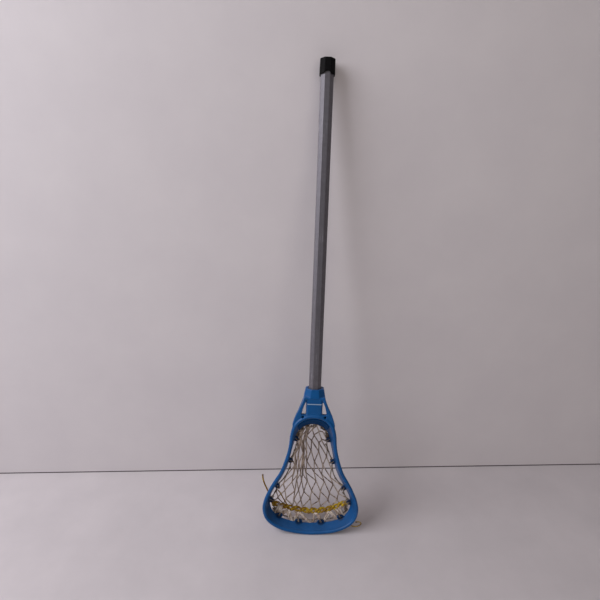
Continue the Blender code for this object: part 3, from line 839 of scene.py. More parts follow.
def side_edge(share, side):
    """A point (x, z) of the net's left or right edge; share runs from the throat to the scoop."""
    station = SIDE_TOP + (SIDE_FOOT - SIDE_TOP) * share
    depth = SCALLOP if side > 0 else SCALLOP * LEFT_SCALLOP
    x, _, z = on_rail(station, NET_MARGIN + depth * scallop(station), 0)
    return np.array((side * x, z))


def end_table(first, last, inset, pull):
    """Points (x, z) along the throat or the scoop, from left to right, pulled inward by a hollow."""
    rows = []
    for step in range(END_STEPS + 1):
        share = step / END_STEPS
        x, _, z = on_rail(first + (last - first) * share, inset + pull(share), 0)
        rows.append((x, z))
    return np.array(rows)


def throat_hollow(share):
    """How far the throat edge is pulled inward: one dip, towards the right."""
    return 2.6 * math.exp(-((share - 0.8) / 0.13) ** 2)


def scoop_hollow(share):
    """How far the scoop edge is pulled inward: a long hollow with seven small waves."""
    return 3.4 * math.sin(math.pi * share) + 1.6 * math.sin(7 * math.pi * share) ** 2


THROAT_END = end_table(-SIDE_TOP, SIDE_TOP, NET_MARGIN, throat_hollow)
SCOOP_END = end_table(LOOP_SPANS - SIDE_FOOT, SIDE_FOOT, NET_MARGIN, scoop_hollow)


def end_edge(share, throat_end):
    """A point (x, z) of the net's top or bottom edge; share is how far across it is."""
    edge = THROAT_END if throat_end else SCOOP_END
    x = edge[0, 0] + (edge[-1, 0] - edge[0, 0]) * share
    return np.array((x, np.interp(x, edge[:, 0], edge[:, 1])))


def net_place(across, down):
    """A place (x, z) inside the four edges, blended from all of them."""
    top, foot = end_edge(across, True), end_edge(across, False)
    left, right = side_edge(down, -1), side_edge(down, 1)
    corners = (
        (1 - across) * (1 - down) * end_edge(0, True) + across * (1 - down) * end_edge(1, True)
        + (1 - across) * down * end_edge(0, False) + across * down * end_edge(1, False)
    )
    return (1 - down) * top + down * foot + (1 - across) * left + across * right - corners


net_corners = [end_edge(share, top).round(1) for share, top in ((0, True), (1, True), (0, False))]
print("net top", net_corners[0], net_corners[1], "foot", net_corners[2])

# %%
# Columns, rows and the gathered fold
COLUMNS, ROWS = 17, 11
NET_RADIUS, FOLD_DEPTH = 0.92, 2.1
dice = np.random.default_rng(7)


def openness(column, down):
    """How far a column, counted from the right, is pulled open at a row: 0 gathered, 1 open."""
    right_open = np.interp(down, (0, 0.1, 0.2, 0.36, 0.45, 0.65, 1), (2.4, 4.2, 5.2, 5.4, 6.0, 8.4, 10.5))
    left_open = np.interp(down, (0, 0.48, 0.66, 1), (0.0, 0.8, 3.7, 5.0))
    from_right = 1 - smooth_step(column + 0.5, right_open - 0.9, right_open + 1.1)
    from_left = smooth_step(column + 0.5, COLUMNS - left_open - 1.0, COLUMNS - left_open + 1.0)
    return float(max(from_right, from_left))


def column_lines(down):
    """Where the column lines cross a row, from 0 at the left edge to 1 at the right."""
    width = np.linalg.norm(side_edge(down, 1) - side_edge(down, -1))
    step = np.interp(down, (0, 0.3, 0.65, 1), (6.2, 6.6, 7.1, 8.0))
    open_share = np.array([openness(k, down) for k in range(COLUMNS)])
    slack = (width / step - open_share.sum()) / max((1 - open_share).sum(), 0.5)
    weights = open_share + (1 - open_share) * max(slack, 0.12)
    lines = 1 - np.concatenate(([0], np.cumsum(weights))) / weights.sum()
    return lines[::-1], open_share[::-1]


def row_share(row):
    """How far down a row is, from 0 to 1: rows are longest in the middle of the bag."""
    t = row / ROWS
    return t - 0.016 * math.sin(math.tau * t)


def make_joints():
    """The place of every joint of the net, on the bag's surface, with its fold and a little play."""
    joints = np.zeros((COLUMNS + 1, ROWS + 1, 3))
    for row in range(ROWS + 1):
        down = row_share(row)
        lines, open_share = column_lines(down)
        for column in range(COLUMNS + 1):
            edge = column in (0, COLUMNS) or row in (0, ROWS)
            play = dice.normal(0, 1, 3) * (0.0 if edge else 1.0)
            x, z = net_place(lines[column], down)
            gathered = 1 - open_share[min(column, COLUMNS - 1)]
            x += play[0] * (0.35 + 0.9 * gathered)
            z += play[1] * (0.5 + 1.6 * gathered)
            wave = math.sin(2.3 * column + 2.0 * down) * FOLD_DEPTH
            fold = wave * gathered * math.sin(math.pi * min(down * 1.1, 1))
            y = bag_depth(x, z) - fold * (0.0 if edge else 1.0) + play[2] * 0.3
            joints[column, row] = (x, y, z)
    return joints


joints = make_joints()

# %%
# Knitting: each cord zigzags between two column lines and runs beside its neighbour at each joint
JOINT_GAP, JOINT_RUN = 0.62, 1.5
WRAP_PLACES, WRAP_RADII = (-2.0, -1.2, 0.0, 1.2, 2.0), (0.9, 1.25, 1.38, 1.25, 0.9)


def net_cord(column):
    """The route of one cord of the net, from the throat to the scoop."""
    points = []
    for row in range(ROWS + 1):
        leans_left = (column + row) % 2 == 0
        line = column if leans_left else column + 1
        joint = joints[line, row]
        other = joints[column + 1 if leans_left else column, row]
        beside = other - joint
        apart = np.linalg.norm(beside)
        beside = beside / max(apart, 1e-6) * min(JOINT_GAP, apart * 0.25)
        above, below = joints[line, max(row - 1, 0)], joints[line, min(row + 1, ROWS)]
        run = (below - above) / max(np.linalg.norm(below - above), 1e-6) * JOINT_RUN
        if row > 0:
            points.append(joint + beside - run)
        if row < ROWS:
            points.append(joint + beside + run)
    return smooth_route(points, 4)


def make_net():
    """All the cords of the net, with a small wrap of thread at each joint."""
    net = CordMesh(8)
    total = 0.0
    for column in range(COLUMNS):
        route = net_cord(column)
        net.sweep(route, NET_RADIUS, 2.4)
        total += route_length(route)
    for column in range(1, COLUMNS):
        for row in range(1, ROWS):
            if (column + row) % 2 == 0:
                place = joints[column, row]
                run = joints[column, row + 1] - joints[column, row - 1]
                run = run / np.linalg.norm(run)
                net.sweep([place + run * s for s in WRAP_PLACES], WRAP_RADII, 2.0)
    return net.make("pocket_net"), total


net, net_cord_length = make_net()
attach(net, "stick")
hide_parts("mesh_pocket")
print("net of", round(net_cord_length / 1000, 2), "m of cord,", len(net.data.polygons), "faces")

# %% [markdown]
# ## Lacing the net to the rim
#
# Four cords hold the net. The two side strings run down the back of the rim, dip through each lug's
# eyelet and round it, and hold the net's edge between the lugs. The throat string crosses under the
# arch, and the top string runs along the scoop. Both of these are lashed to the net's end rows with
# a second pass, zigzag, which is the busy band of loops that shows along the scoop.

# %%
# Side strings
STRING_RADIUS = 0.95


def round_lug(station):
    """A turn of string through an eyelet and back round the lug's inner side."""
    steps = (
        (-0.22, 3.0, 1.6), (-0.05, 2.1, 0.9), (0.0, 1.9, -2.8), (0.0, 2.3, -5.5), (0.02, 4.4, -6.1),
        (0.05, 6.7, -4.6), (0.08, 7.0, -1.6), (0.14, 5.4, 0.9), (0.3, 3.6, 1.8),
    )
    return [on_rail(station + s, inset, behind) for s, inset, behind in steps]


def side_string(name, side, first, last):
    """One side string, from its knot at the throat to its knot at the scoop."""
    points, station = [], first
    lugs_here = [s for s in LUG_STATIONS if first - 0.3 < s < last]
    while station < last:
        near = [s for s in lugs_here if station <= s + 0.3 and station >= s - 0.35]
        if near:
            points.extend(round_lug(near[0]))
            station = near[0] + 0.62
            continue
        depth = (SCALLOP if side > 0 else SCALLOP * LEFT_SCALLOP) * scallop(station)
        points.append(on_rail(station, 3.2 + depth * 0.85, 1.6 + 0.6 * math.sin(9 * station)))
        station += 0.4
    points = [np.array((side * p[0], p[1], p[2])) for p in points]
    string = CordMesh(10)
    string.sweep(smooth_route(points, 4), STRING_RADIUS, 3.0)
    for row in range(0, ROWS + 1):
        column = 0 if side < 0 else COLUMNS
        joint = joints[column, row]
        nearest = min(points, key=lambda p: np.linalg.norm(p - joint))
        string.sweep(hitch(joint, nearest, 1.9), 0.7, 2.4)
    add_knot(string, points[0])
    add_knot(string, points[-1])
    return string.make(name)


def hitch(joint, cord_point, reach):
    """A short loop that ties a joint of the net to the cord beside it."""
    middle = (joint + cord_point) / 2
    toward = cord_point - joint
    half = max(np.linalg.norm(toward) / 2, 0.6) + 1.2
    toward = toward / max(np.linalg.norm(toward), 1e-6)
    lift = np.array((0.0, 1.0, 0.0))
    turns = np.linspace(0, math.tau, 15)
    drift = np.cross(toward, lift) * 0.9
    return np.array([
        middle + toward * half * math.cos(t) + lift * reach * math.sin(t) + drift * (t / math.tau - 0.5)
        for t in turns
    ])


def add_knot(cord, place, size=1.7, radius=1.0):
    """An overhand knot: a trefoil pulled tight."""
    turns = np.linspace(0, math.tau, 49)
    shape = np.stack((
        np.sin(turns) + 2 * np.sin(2 * turns),
        1.1 * -np.sin(3 * turns),
        np.cos(turns) - 2 * np.cos(2 * turns),
    ), axis=1)
    cord.sweep(np.array(place) + shape * size * 0.55, radius, 3.0)


side_strings = {
    "sidewall_string_right": side_string("side_string_right", 1, 4.6, 14.3),
    "sidewall_string_left": side_string("side_string_left", -1, 4.6, 14.3),
}
print("side strings", [len(s.data.polygons) for s in side_strings.values()], "faces")

# %%
# Throat and top strings, with their lashings
LASHING_RADIUS, LASHING_PASSES = 1.65, 2
GATHER = 0.35


def lashing(first, last, count, near, far, lift, phase, gather_at):
    """A zigzag between the rim's string and the net, over and under it in turn."""
    points = []
    for i in range(count + 1):
        station = first + (last - first) * i / count
        out = (i + phase) % 2 == 0
        inset = near if out else far
        if out and gather_at:
            nearest = min(gather_at, key=lambda s: abs(s - station))
            station += (nearest - station) * GATHER
        crossing = station + (last - first) / count * 0.42
        points.append(on_rail(station, inset + dice.normal(0, 0.35), lift if out else -lift + 0.6))
        points.append(on_rail(crossing, inset + dice.normal(0, 0.3), -lift if out else lift))
    return smooth_route(points, 5)


def end_string(name, first, last, count, near, far, lugs_here):
    """A string along the throat or the scoop; returns it and the lashings that tie the net to it."""
    points, station = [], first
    while station <= last:
        beside = [s for s in lugs_here if s - 0.35 <= station <= s + 0.3]
        if beside:
            points.extend(round_lug(beside[0]))
            station = beside[0] + 0.62
            continue
        points.append(on_rail(station, 2.4, 1.5 + 0.5 * math.sin(7 * station)))
        station += 0.45
    string = CordMesh(10)
    string.sweep(smooth_route(points, 4), STRING_RADIUS, 3.0)
    add_knot(string, points[0])
    add_knot(string, points[-1])
    zigzags = CordMesh(10)
    for phase in range(LASHING_PASSES):
        zigzag = lashing(first, last, count + 2 * phase, near, far + phase, 1.5, phase, lugs_here)
        zigzags.sweep(zigzag, LASHING_RADIUS, 2.8)
    return string.make(name), zigzags.make(name + "_lashings")


scoop_lugs = [s for s in LUG_STATIONS if s > SIDE_LUGS_END]
scoop_lugs += [LOOP_SPANS - s for s in scoop_lugs[::-1]]
end_strings = {
    "throat_string": end_string("throat_lacing", -4.3, 4.3, 9, -2.0, 2.6, []),
    "top_string": end_string(
        "scoop_lacing", SIDE_LUGS_END, LOOP_SPANS - SIDE_LUGS_END, 12, 0.4, 12.0, scoop_lugs,
    ),
}
lashings = {node: pair[1] for node, pair in end_strings.items()}
strings = {**side_strings, **{node: pair[0] for node, pair in end_strings.items()}}
for node, piece in strings.items():
    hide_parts(node)
for piece in list(strings.values()) + list(lashings.values()):
    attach(piece, "stick")
print("end strings", [len(s.data.polygons) for pair in end_strings.values() for s in pair], "faces")

# %% [markdown]
# ## The shooting string
#
# The shooting string crosses the mouth of the pocket and decides how the ball leaves it. Three runs
# of one yellow cord are twisted through the same row of the net, over one cord and under the next,
# so the net's cords cross in front of it here and there. A spare run goes up the left side.

# %%
# Shooting string
SHOOTING_ROUTE = ((-58, 36.5), (-42, 30.5), (-22, 26), (2, 24), (24, 26.2), (42, 31.5), (58, 40))
SPARE_RUN = ((-53.5, 56), (-49.5, 50), (-45, 42.5), (-39, 34))
CORD_RADIUS, SPARE_RADIUS = 1.6, 0.95
TWIST_LENGTH, TWIST_REACH, TWIST_LIFT = 21.0, 2.3, 0.9


def on_bag(x, z, lift):
    """A point in front of the bag's surface, towards the mouth."""
    return np.array((x, bag_depth(x, z) - lift, z))


def twisted_run(route, phase):
    """One of the cords that twist round each other along a route of (x, z) places."""
    flat = smooth_route(route, 14)
    along = directions(flat)
    lengths = np.concatenate(([0.0], np.cumsum(np.linalg.norm(np.diff(flat, axis=0), axis=1))))
    points = []
    for place, direction, length in zip(flat, along, lengths):
        turn = math.tau * length / TWIST_LENGTH + phase + 0.7 * math.sin(length / 9 + 2 * phase)
        side = np.array((-direction[1], direction[0])) * TWIST_REACH * math.sin(turn)
        lift = TWIST_LIFT + TWIST_REACH * math.cos(turn)
        points.append(on_bag(place[0] + side[0], place[1] + side[1], lift))
    return np.array(points)


shooting = CordMesh(12)
for strand in range(3):
    shooting.sweep(twisted_run(SHOOTING_ROUTE, math.tau * strand / 3), CORD_RADIUS, 3.4)
shooting.sweep([on_bag(x, z, 2.4) for x, z in smooth_route(SPARE_RUN, 6)], SPARE_RADIUS, 3.2)
for place in (SHOOTING_ROUTE[0], SHOOTING_ROUTE[-1]):
    x, z = place
    add_knot(shooting, on_bag(x * 1.04, z + 0.6, 1.5), 2.0, 1.3)
shooting_string = shooting.make("shooting_cords")
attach(shooting_string, "stick")
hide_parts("shooting_string")
print("shooting string", len(shooting_string.data.polygons), "faces")

# %% [markdown]
# ## Building materials from nodes
#
# A material is a small graph, and the graph is easiest to read when each effect is one box with
# named inputs. The helpers below add and join nodes. The boxes that follow are node groups: fine
# grain, wear along edges, settled dust and the braid of a cord. They put out masks and heights
# only, and each material decides what to do with them.

# %%
# Node helpers
def add(tree, kind, values=None, **settings):
    """Adds a node, sets its properties, and fills or links its inputs."""
    node = tree.nodes.new("ShaderNode" + kind)
    for name, value in settings.items():
        setattr(node, name, value)
    for key, value in (values or {}).items():
        if isinstance(value, bpy.types.NodeSocket):
            tree.links.new(value, node.inputs[key])
        else:
            node.inputs[key].default_value = value
    return node


def maths(tree, operation, first, second=0.0, clamp=False):
    """A Math node's output."""
    return add(tree, "Math", {0: first, 1: second}, operation=operation, use_clamp=clamp).outputs[0]


def blend_colour(tree, factor, first, second):
    """A Mix node's colour output."""
    node = add(tree, "Mix", data_type="RGBA")
    for index, value in ((0, factor), (6, first), (7, second)):
        if isinstance(value, bpy.types.NodeSocket):
            tree.links.new(value, node.inputs[index])
        else:
            node.inputs[index].default_value = (*value, 1.0) if isinstance(value, tuple) else value
    return node.outputs[2]


def to_range(tree, value, low, high, new_low, new_high, smooth=False):
    """A Map Range node's output."""
    node = add(
        tree, "MapRange", {0: value, 1: low, 2: high, 3: new_low, 4: new_high},
        interpolation_type="SMOOTHSTEP" if smooth else "LINEAR",
    )
    return node.outputs[0]


def noise(tree, vector, scale, detail=3.0, rough=0.5):
    """A Noise node's output, as a factor."""
    values = {"Vector": vector, "Scale": scale, "Detail": detail, "Roughness": rough}
    return add(tree, "TexNoise", values).outputs[0]


def new_group(name, inputs, outputs):
    """A node group with named sockets; returns its tree, its input node and its output node."""
    tree = bpy.data.node_groups.new(name, "ShaderNodeTree")
    for label, kind, default in inputs:
        socket = tree.interface.new_socket(label, in_out="INPUT", socket_type="NodeSocket" + kind)
        if default is not None:
            socket.default_value = default
    for label, kind in outputs:
        tree.interface.new_socket(label, in_out="OUTPUT", socket_type="NodeSocket" + kind)
    return tree, tree.nodes.new("NodeGroupInput"), tree.nodes.new("NodeGroupOutput")


# %%
# Group: fine grain, the small unevenness of any moulded or blasted surface
def make_grain_group():
    """Speckle at two sizes, as a height and as a slow patchiness for colour."""
    tree, given, out = new_group(
        "fine_grain", [("Position", "Vector", None), ("Scale", "Float", 900.0)],
        [("Height", "Float"), ("Patches", "Float")],
    )
    position, scale = given.outputs["Position"], given.outputs["Scale"]
    fine = noise(tree, position, scale, 4.0, 0.6)
    coarse = noise(tree, position, maths(tree, "MULTIPLY", scale, 0.21), 2.0)
    height = maths(tree, "ADD", maths(tree, "MULTIPLY", fine, 0.6), maths(tree, "MULTIPLY", coarse, 0.4))
    patches = noise(tree, position, maths(tree, "MULTIPLY", scale, 0.035), 3.0, 0.55)
    tree.links.new(height, out.inputs["Height"])
    tree.links.new(to_range(tree, patches, 0.3, 0.7, 0.0, 1.0), out.inputs["Patches"])
    return tree


# %%
# Group: edge wear, where outside edges rub first
def make_wear_group():
    """A mask of outside edges, broken up by noise."""
    tree, given, out = new_group(
        "edge_wear", [("Position", "Vector", None), ("Start", "Float", 0.52), ("Width", "Float", 0.06)],
        [("Mask", "Float")],
    )
    point = tree.nodes.new("ShaderNodeNewGeometry").outputs["Pointiness"]
    start = given.outputs["Start"]
    end = maths(tree, "ADD", start, given.outputs["Width"])
    edge = to_range(tree, point, start, end, 0.0, 1.0)
    broken = to_range(tree, noise(tree, given.outputs["Position"], 160.0, 5.0, 0.65), 0.4, 0.62, 0.0, 1.0)
    tree.links.new(maths(tree, "MULTIPLY", edge, broken), out.inputs["Mask"])
    return tree


# %%
# Group: scuffs, thin scratches that cross a surface in one main direction
def make_scuff_group():
    """Short streaks from noise that is stretched along one axis."""
    tree, given, out = new_group(
        "scuffs",
        [("Position", "Vector", None), ("Stretch", "Vector", (1.0, 1.0, 0.08)), ("Scale", "Float", 700.0)],
        [("Mask", "Float")],
    )
    sides = {0: given.outputs["Position"], 1: given.outputs["Stretch"]}
    pulled = add(tree, "VectorMath", sides, operation="MULTIPLY")
    lines = noise(tree, pulled.outputs[0], given.outputs["Scale"], 2.0, 0.4)
    thin = to_range(tree, lines, 0.64, 0.72, 0.0, 1.0, True)
    where = to_range(tree, noise(tree, given.outputs["Position"], 38.0, 2.0), 0.52, 0.68, 0.0, 1.0)
    tree.links.new(maths(tree, "MULTIPLY", thin, where), out.inputs["Mask"])
    return tree


# %%
# Group: dust, which settles on whatever faces up
def make_dust_group():
    """A mask of upward faces, thick and thin in patches."""
    tree, given, out = new_group("settled_dust", [("Position", "Vector", None)], [("Mask", "Float")])
    normal = tree.nodes.new("ShaderNodeNewGeometry").outputs["Normal"]
    up = add(tree, "SeparateXYZ", {0: normal}).outputs[2]
    facing = to_range(tree, up, 0.15, 0.95, 0.0, 1.0, True)
    patchy = to_range(tree, noise(tree, given.outputs["Position"], 210.0, 6.0, 0.7), 0.35, 0.75, 0.15, 1.0)
    tree.links.new(maths(tree, "MULTIPLY", facing, patchy), out.inputs["Mask"])
    return tree


# %%
# Group: the braid of a cord, from its coordinates round and along
def make_braid_group():
    """Two sets of strands that cross, as rounded ridges, with a mask of the gaps between them."""
    tree, given, out = new_group(
        "cord_braid", [("Round and along", "Vector", None), ("Strands", "Float", 4.0)],
        [("Height", "Float"), ("Gaps", "Float")],
    )
    parts = add(tree, "SeparateXYZ", {0: given.outputs["Round and along"]})
    turned = maths(tree, "MULTIPLY", parts.outputs[0], given.outputs["Strands"])
    one = maths(tree, "ADD", turned, parts.outputs[1])
    two = maths(tree, "SUBTRACT", turned, parts.outputs[1])
    ridges = []
    for value in (one, two):
        wave = maths(tree, "SINE", maths(tree, "MULTIPLY", value, math.pi))
        ridges.append(maths(tree, "ABSOLUTE", wave))
    over = maths(tree, "SINE", maths(tree, "MULTIPLY", maths(tree, "ADD", one, two), math.pi / 2))
    over = to_range(tree, over, -0.35, 0.35, 0.0, 1.0, True)
    under = maths(tree, "SUBTRACT", 1.0, over)
    first = maths(tree, "MULTIPLY", ridges[0], over)
    second = maths(tree, "MULTIPLY", ridges[1], under)
    height = maths(tree, "ADD", first, second)
    tree.links.new(height, out.inputs["Height"])
    tree.links.new(to_range(tree, height, 0.15, 0.6, 1.0, 0.0), out.inputs["Gaps"])
    return tree


GROUPS = {
    "grain": make_grain_group(),
    "wear": make_wear_group(),
    "scuffs": make_scuff_group(),
    "dust": make_dust_group(),
    "braid": make_braid_group(),
}
print("node groups", sorted(group.name for group in GROUPS.values()))


# %%
# A material starts with its shader and the place on the object
def new_material(name):
    """A material; returns it with its tree, its Principled shader and the object position."""
    material = bpy.data.materials.new(name)
    material.use_nodes = True
    tree = material.node_tree
    shader = tree.nodes["Principled BSDF"]
    position = tree.nodes.new("ShaderNodeTexCoord").outputs["Object"]
    return material, tree, shader, position


def use(tree, group, **values):
    """Places a node group; input names are given with underscores for spaces."""
    node = tree.nodes.new("ShaderNodeGroup")
    node.node_tree = GROUPS[group]
    for key, value in values.items():
        socket = node.inputs[key.replace("_", " ")]
        if isinstance(value, bpy.types.NodeSocket):
            tree.links.new(value, socket)
        else:
            socket.default_value = value
    return node.outputs


def bump(tree, shader, height, strength, distance):
    """Feeds a height to the shader's Normal through a Bump node."""
    node = add(tree, "Bump", {"Height": height, "Strength": strength, "Distance": distance})
    tree.links.new(node.outputs[0], shader.inputs["Normal"])


def wear_it(pieces, material):
    """Gives pieces one material."""
    for piece in pieces:
        piece.data.materials.clear()
        piece.data.materials.append(material)


# %% [markdown]
# ## Plastic, foam and rubber
#
# Three dark, dry materials that differ in how they age. The nylon of the head keeps its moulded
# satin, goes pale in thin lines where it has scraped along the ground, and holds grass dust on its
# ledges; its colour also carries painted shade round the lugs and a painted highlight on the lip of
# its ledge. Foam has open pores that hold shadow, painted in as darker colour. Rubber greys as dust
# works into it. Each gets its own colour, roughness and bump from the shared groups.

# %%
# Moulded blue nylon, with a painted highlight: a pale line on the lip of its ledge
LIP_FULL, LIP_END = 0.4, 0.8
HIGHLIGHT_DEPTH_FULL, HIGHLIGHT_DEPTH_END = 1.2, 1.6
HIGHLIGHT_HALF_FULL, HIGHLIGHT_HALF_END = 11.0, 11.6


def make_head_plastic():
    """Satin moulded nylon, with scuffs, worn edges, a little dust, painted shade round the lugs and a painted
    highlight on the lip of the ledge.
    """
    material, tree, shader, position = new_material("moulded_blue_nylon")
    grain = use(tree, "grain", Position=position, Scale=1500.0)
    wear = use(tree, "wear", Position=position, Start=0.535, Width=0.08)["Mask"]
    scuffs = use(tree, "scuffs", Position=position, Stretch=(0.12, 1.0, 1.0), Scale=900.0)["Mask"]
    dust = use(tree, "dust", Position=position)["Mask"]
    base = blend_colour(tree, grain["Patches"], (0.002, 0.080, 0.255), (0.0025, 0.100, 0.320))
    worn = blend_colour(tree, maths(tree, "MULTIPLY", wear, 0.4), base, (0.05, 0.22, 0.48))
    scraped = blend_colour(tree, maths(tree, "MULTIPLY", scuffs, 0.22), worn, (0.12, 0.30, 0.55))
    dust_and_shade = blend_colour(tree, maths(tree, "MULTIPLY", dust, 0.05), scraped, (0.42, 0.40, 0.36))
    # Painted shade: the plastic round each lug is darkened to near-black navy
    lug_shade_mask = add(tree, "Attribute", attribute_name="lug_grime").outputs[2]
    lug_shaded = maths(tree, "MULTIPLY", lug_shade_mask, to_range(tree, grain["Patches"], 0.2, 0.8, 0.75, 0.95))
    dust_and_shade = blend_colour(tree, lug_shaded, dust_and_shade, (0.002, 0.012, 0.045))
    # Painted highlight: a pale line on the lip of the ledge under the collar, where light from above catches
    # it
    across, behind, up = add(tree, "SeparateXYZ", {0: position}).outputs
    lip_height = at((0, 0, LEDGE_HEIGHT + 0.1)).z
    off_lip = maths(tree, "ABSOLUTE", maths(tree, "SUBTRACT", up, lip_height))
    on_lip = to_range(tree, off_lip, LIP_FULL * MM, LIP_END * MM, 1.0, 0.0, True)
    highlight_end, highlight_full = (COLUMN_FRONT + HIGHLIGHT_DEPTH_END) * MM, (COLUMN_FRONT + HIGHLIGHT_DEPTH_FULL) * MM
    in_front = to_range(tree, behind, highlight_end, highlight_full, 0.0, 1.0)
    off_middle = maths(tree, "ABSOLUTE", across)
    inside = to_range(tree, off_middle, HIGHLIGHT_HALF_END * MM, HIGHLIGHT_HALF_FULL * MM, 0.0, 1.0)
    wear_and_highlight = maths(tree, "MULTIPLY", maths(tree, "MULTIPLY", on_lip, in_front), inside)
    pale = blend_colour(tree, maths(tree, "MULTIPLY", wear_and_highlight, 0.8), dust_and_shade, (0.50, 0.62, 0.70))
    tree.links.new(pale, shader.inputs["Base Color"])
    satin = to_range(tree, grain["Patches"], 0.0, 1.0, 0.30, 0.40)
    dulled = maths(tree, "ADD", satin, maths(tree, "MULTIPLY", dust, 0.3))
    rough = maths(tree, "ADD", dulled, maths(tree, "MULTIPLY", scuffs, 0.2), True)
    tree.links.new(rough, shader.inputs["Roughness"])
    shader.inputs["IOR"].default_value = 1.52
    shader.inputs["Specular IOR Level"].default_value = 0.36
    height = maths(tree, "SUBTRACT", grain["Height"], maths(tree, "MULTIPLY", scuffs, 0.8))
    bump(tree, shader, height, 0.35, 0.00012)
    return material


# %%
# Closed-cell foam
def make_foam():
    """Navy foam with fine pores."""
    material, tree, shader, position = new_material("closed_cell_foam")
    pores = add(tree, "TexVoronoi", {"Vector": position, "Scale": 1100.0}).outputs["Distance"]
    open_pores = to_range(tree, pores, 0.1, 0.45, 1.0, 0.0, True)
    grain = use(tree, "grain", Position=position, Scale=800.0)
    dust = use(tree, "dust", Position=position)["Mask"]
    base = blend_colour(tree, grain["Patches"], (0.0015, 0.050, 0.165), (0.002, 0.066, 0.210))
    # Painted shade: the pores are darkened in the colour
    dark = blend_colour(tree, maths(tree, "MULTIPLY", open_pores, 0.7), base, (0.001, 0.020, 0.070))
    dust_and_shade = blend_colour(tree, maths(tree, "MULTIPLY", dust, 0.03), dark, (0.3, 0.29, 0.27))
    tree.links.new(dust_and_shade, shader.inputs["Base Color"])
    tree.links.new(to_range(tree, grain["Height"], 0.0, 1.0, 0.8, 0.98), shader.inputs["Roughness"])
    shader.inputs["Sheen Weight"].default_value = 0.01
    shader.inputs["Specular IOR Level"].default_value = 0.2
    bump(tree, shader, maths(tree, "SUBTRACT", 1.0, open_pores), 0.6, 0.0003)
    return material


# %%
# Black rubber
def make_rubber():
    """Matte black rubber, greyed by dust and worn on its corners."""
    material, tree, shader, position = new_material("black_rubber")
    grain = use(tree, "grain", Position=position, Scale=2200.0)
    wear = use(tree, "wear", Position=position, Start=0.53, Width=0.1)["Mask"]
    dust = use(tree, "dust", Position=position)["Mask"]
    base = blend_colour(tree, grain["Patches"], (0.002, 0.002, 0.0022), (0.004, 0.004, 0.0043))
    wear_and_highlight = blend_colour(tree, maths(tree, "MULTIPLY", wear, 0.35), base, (0.022, 0.022, 0.023))
    greyed = blend_colour(tree, maths(tree, "MULTIPLY", dust, 0.03), wear_and_highlight, (0.2, 0.19, 0.18))
    tree.links.new(greyed, shader.inputs["Base Color"])
    matt = to_range(tree, grain["Height"], 0.25, 0.75, 0.62, 0.86)
    rough = maths(tree, "ADD", matt, maths(tree, "MULTIPLY", dust, 0.1), True)
    tree.links.new(rough, shader.inputs["Roughness"])
    shader.inputs["Specular IOR Level"].default_value = 0.16
    bump(tree, shader, grain["Height"], 0.5, 0.00015)
    return material


wear_it([head], make_head_plastic())
wear_it([pad], make_foam())
wear_it([cap], make_rubber())
print("plastic, foam and rubber made")

# %% [markdown]
# ## Metal
#
# The shaft is satin anodised, so its lines run the way it was drawn through the die. Noise that is
# squeezed across the shaft and stretched along it gives those lines, in roughness and bump as well
# as in colour. The screw is plated steel, which is brighter and goes dull in its recess.

# %%
# Anodised shaft and plated screw
def make_anodised():
    """Satin grey aluminium with drawn lines, small dents of wear and a few scratches."""
    material, tree, shader, position = new_material("satin_anodised_aluminium")
    pulled = add(tree, "VectorMath", {0: position, 1: (1.0, 1.0, 0.012)}, operation="MULTIPLY").outputs[0]
    lines = noise(tree, pulled, 2600.0, 3.0, 0.6)
    broad = noise(tree, pulled, 420.0, 2.0)
    grain = use(tree, "grain", Position=position, Scale=600.0)
    wear = use(tree, "wear", Position=position, Start=0.52, Width=0.08)["Mask"]
    scuffs = use(tree, "scuffs", Position=position, Stretch=(1.0, 1.0, 0.06), Scale=900.0)["Mask"]
    tone = maths(tree, "ADD", maths(tree, "MULTIPLY", lines, 0.5), maths(tree, "MULTIPLY", broad, 0.5))
    shade = to_range(tree, tone, 0.3, 0.7, 0.0, 1.0)
    base = blend_colour(tree, shade, (0.158, 0.150, 0.168), (0.222, 0.213, 0.236))
    patchy = blend_colour(tree, maths(tree, "MULTIPLY", grain["Patches"], 0.25), base, (0.17, 0.165, 0.19))
    bright = blend_colour(tree, maths(tree, "MULTIPLY", wear, 0.5), patchy, (0.62, 0.62, 0.64))
    scratched = blend_colour(tree, maths(tree, "MULTIPLY", scuffs, 0.4), bright, (0.66, 0.66, 0.68))
    tree.links.new(scratched, shader.inputs["Base Color"])
    tree.links.new(to_range(tree, grain["Patches"], 0.0, 1.0, 0.66, 0.52), shader.inputs["Metallic"])
    tree.links.new(to_range(tree, tone, 0.3, 0.7, 0.44, 0.58), shader.inputs["Roughness"])
    bump(tree, shader, maths(tree, "SUBTRACT", lines, maths(tree, "MULTIPLY", scuffs, 0.6)), 0.3, 0.00006)
    return material


def make_plated():
    """Bright zinc plate with turning marks and a dull bloom."""
    material, tree, shader, position = new_material("zinc_plated_steel")
    grain = use(tree, "grain", Position=position, Scale=2500.0)
    wear = use(tree, "wear", Position=position, Start=0.51, Width=0.1)["Mask"]
    base = blend_colour(tree, grain["Patches"], (0.36, 0.36, 0.37), (0.55, 0.55, 0.55))
    bright = blend_colour(tree, maths(tree, "MULTIPLY", wear, 0.5), base, (0.75, 0.75, 0.76))
    tree.links.new(bright, shader.inputs["Base Color"])
    tree.links.new(to_range(tree, grain["Height"], 0.25, 0.75, 0.24, 0.42), shader.inputs["Roughness"])
    shader.inputs["Metallic"].default_value = 1.0
    bump(tree, shader, grain["Height"], 0.3, 0.00008)
    return material


wear_it([shaft], make_anodised())
wear_it([screw], make_plated())
print("metals made")
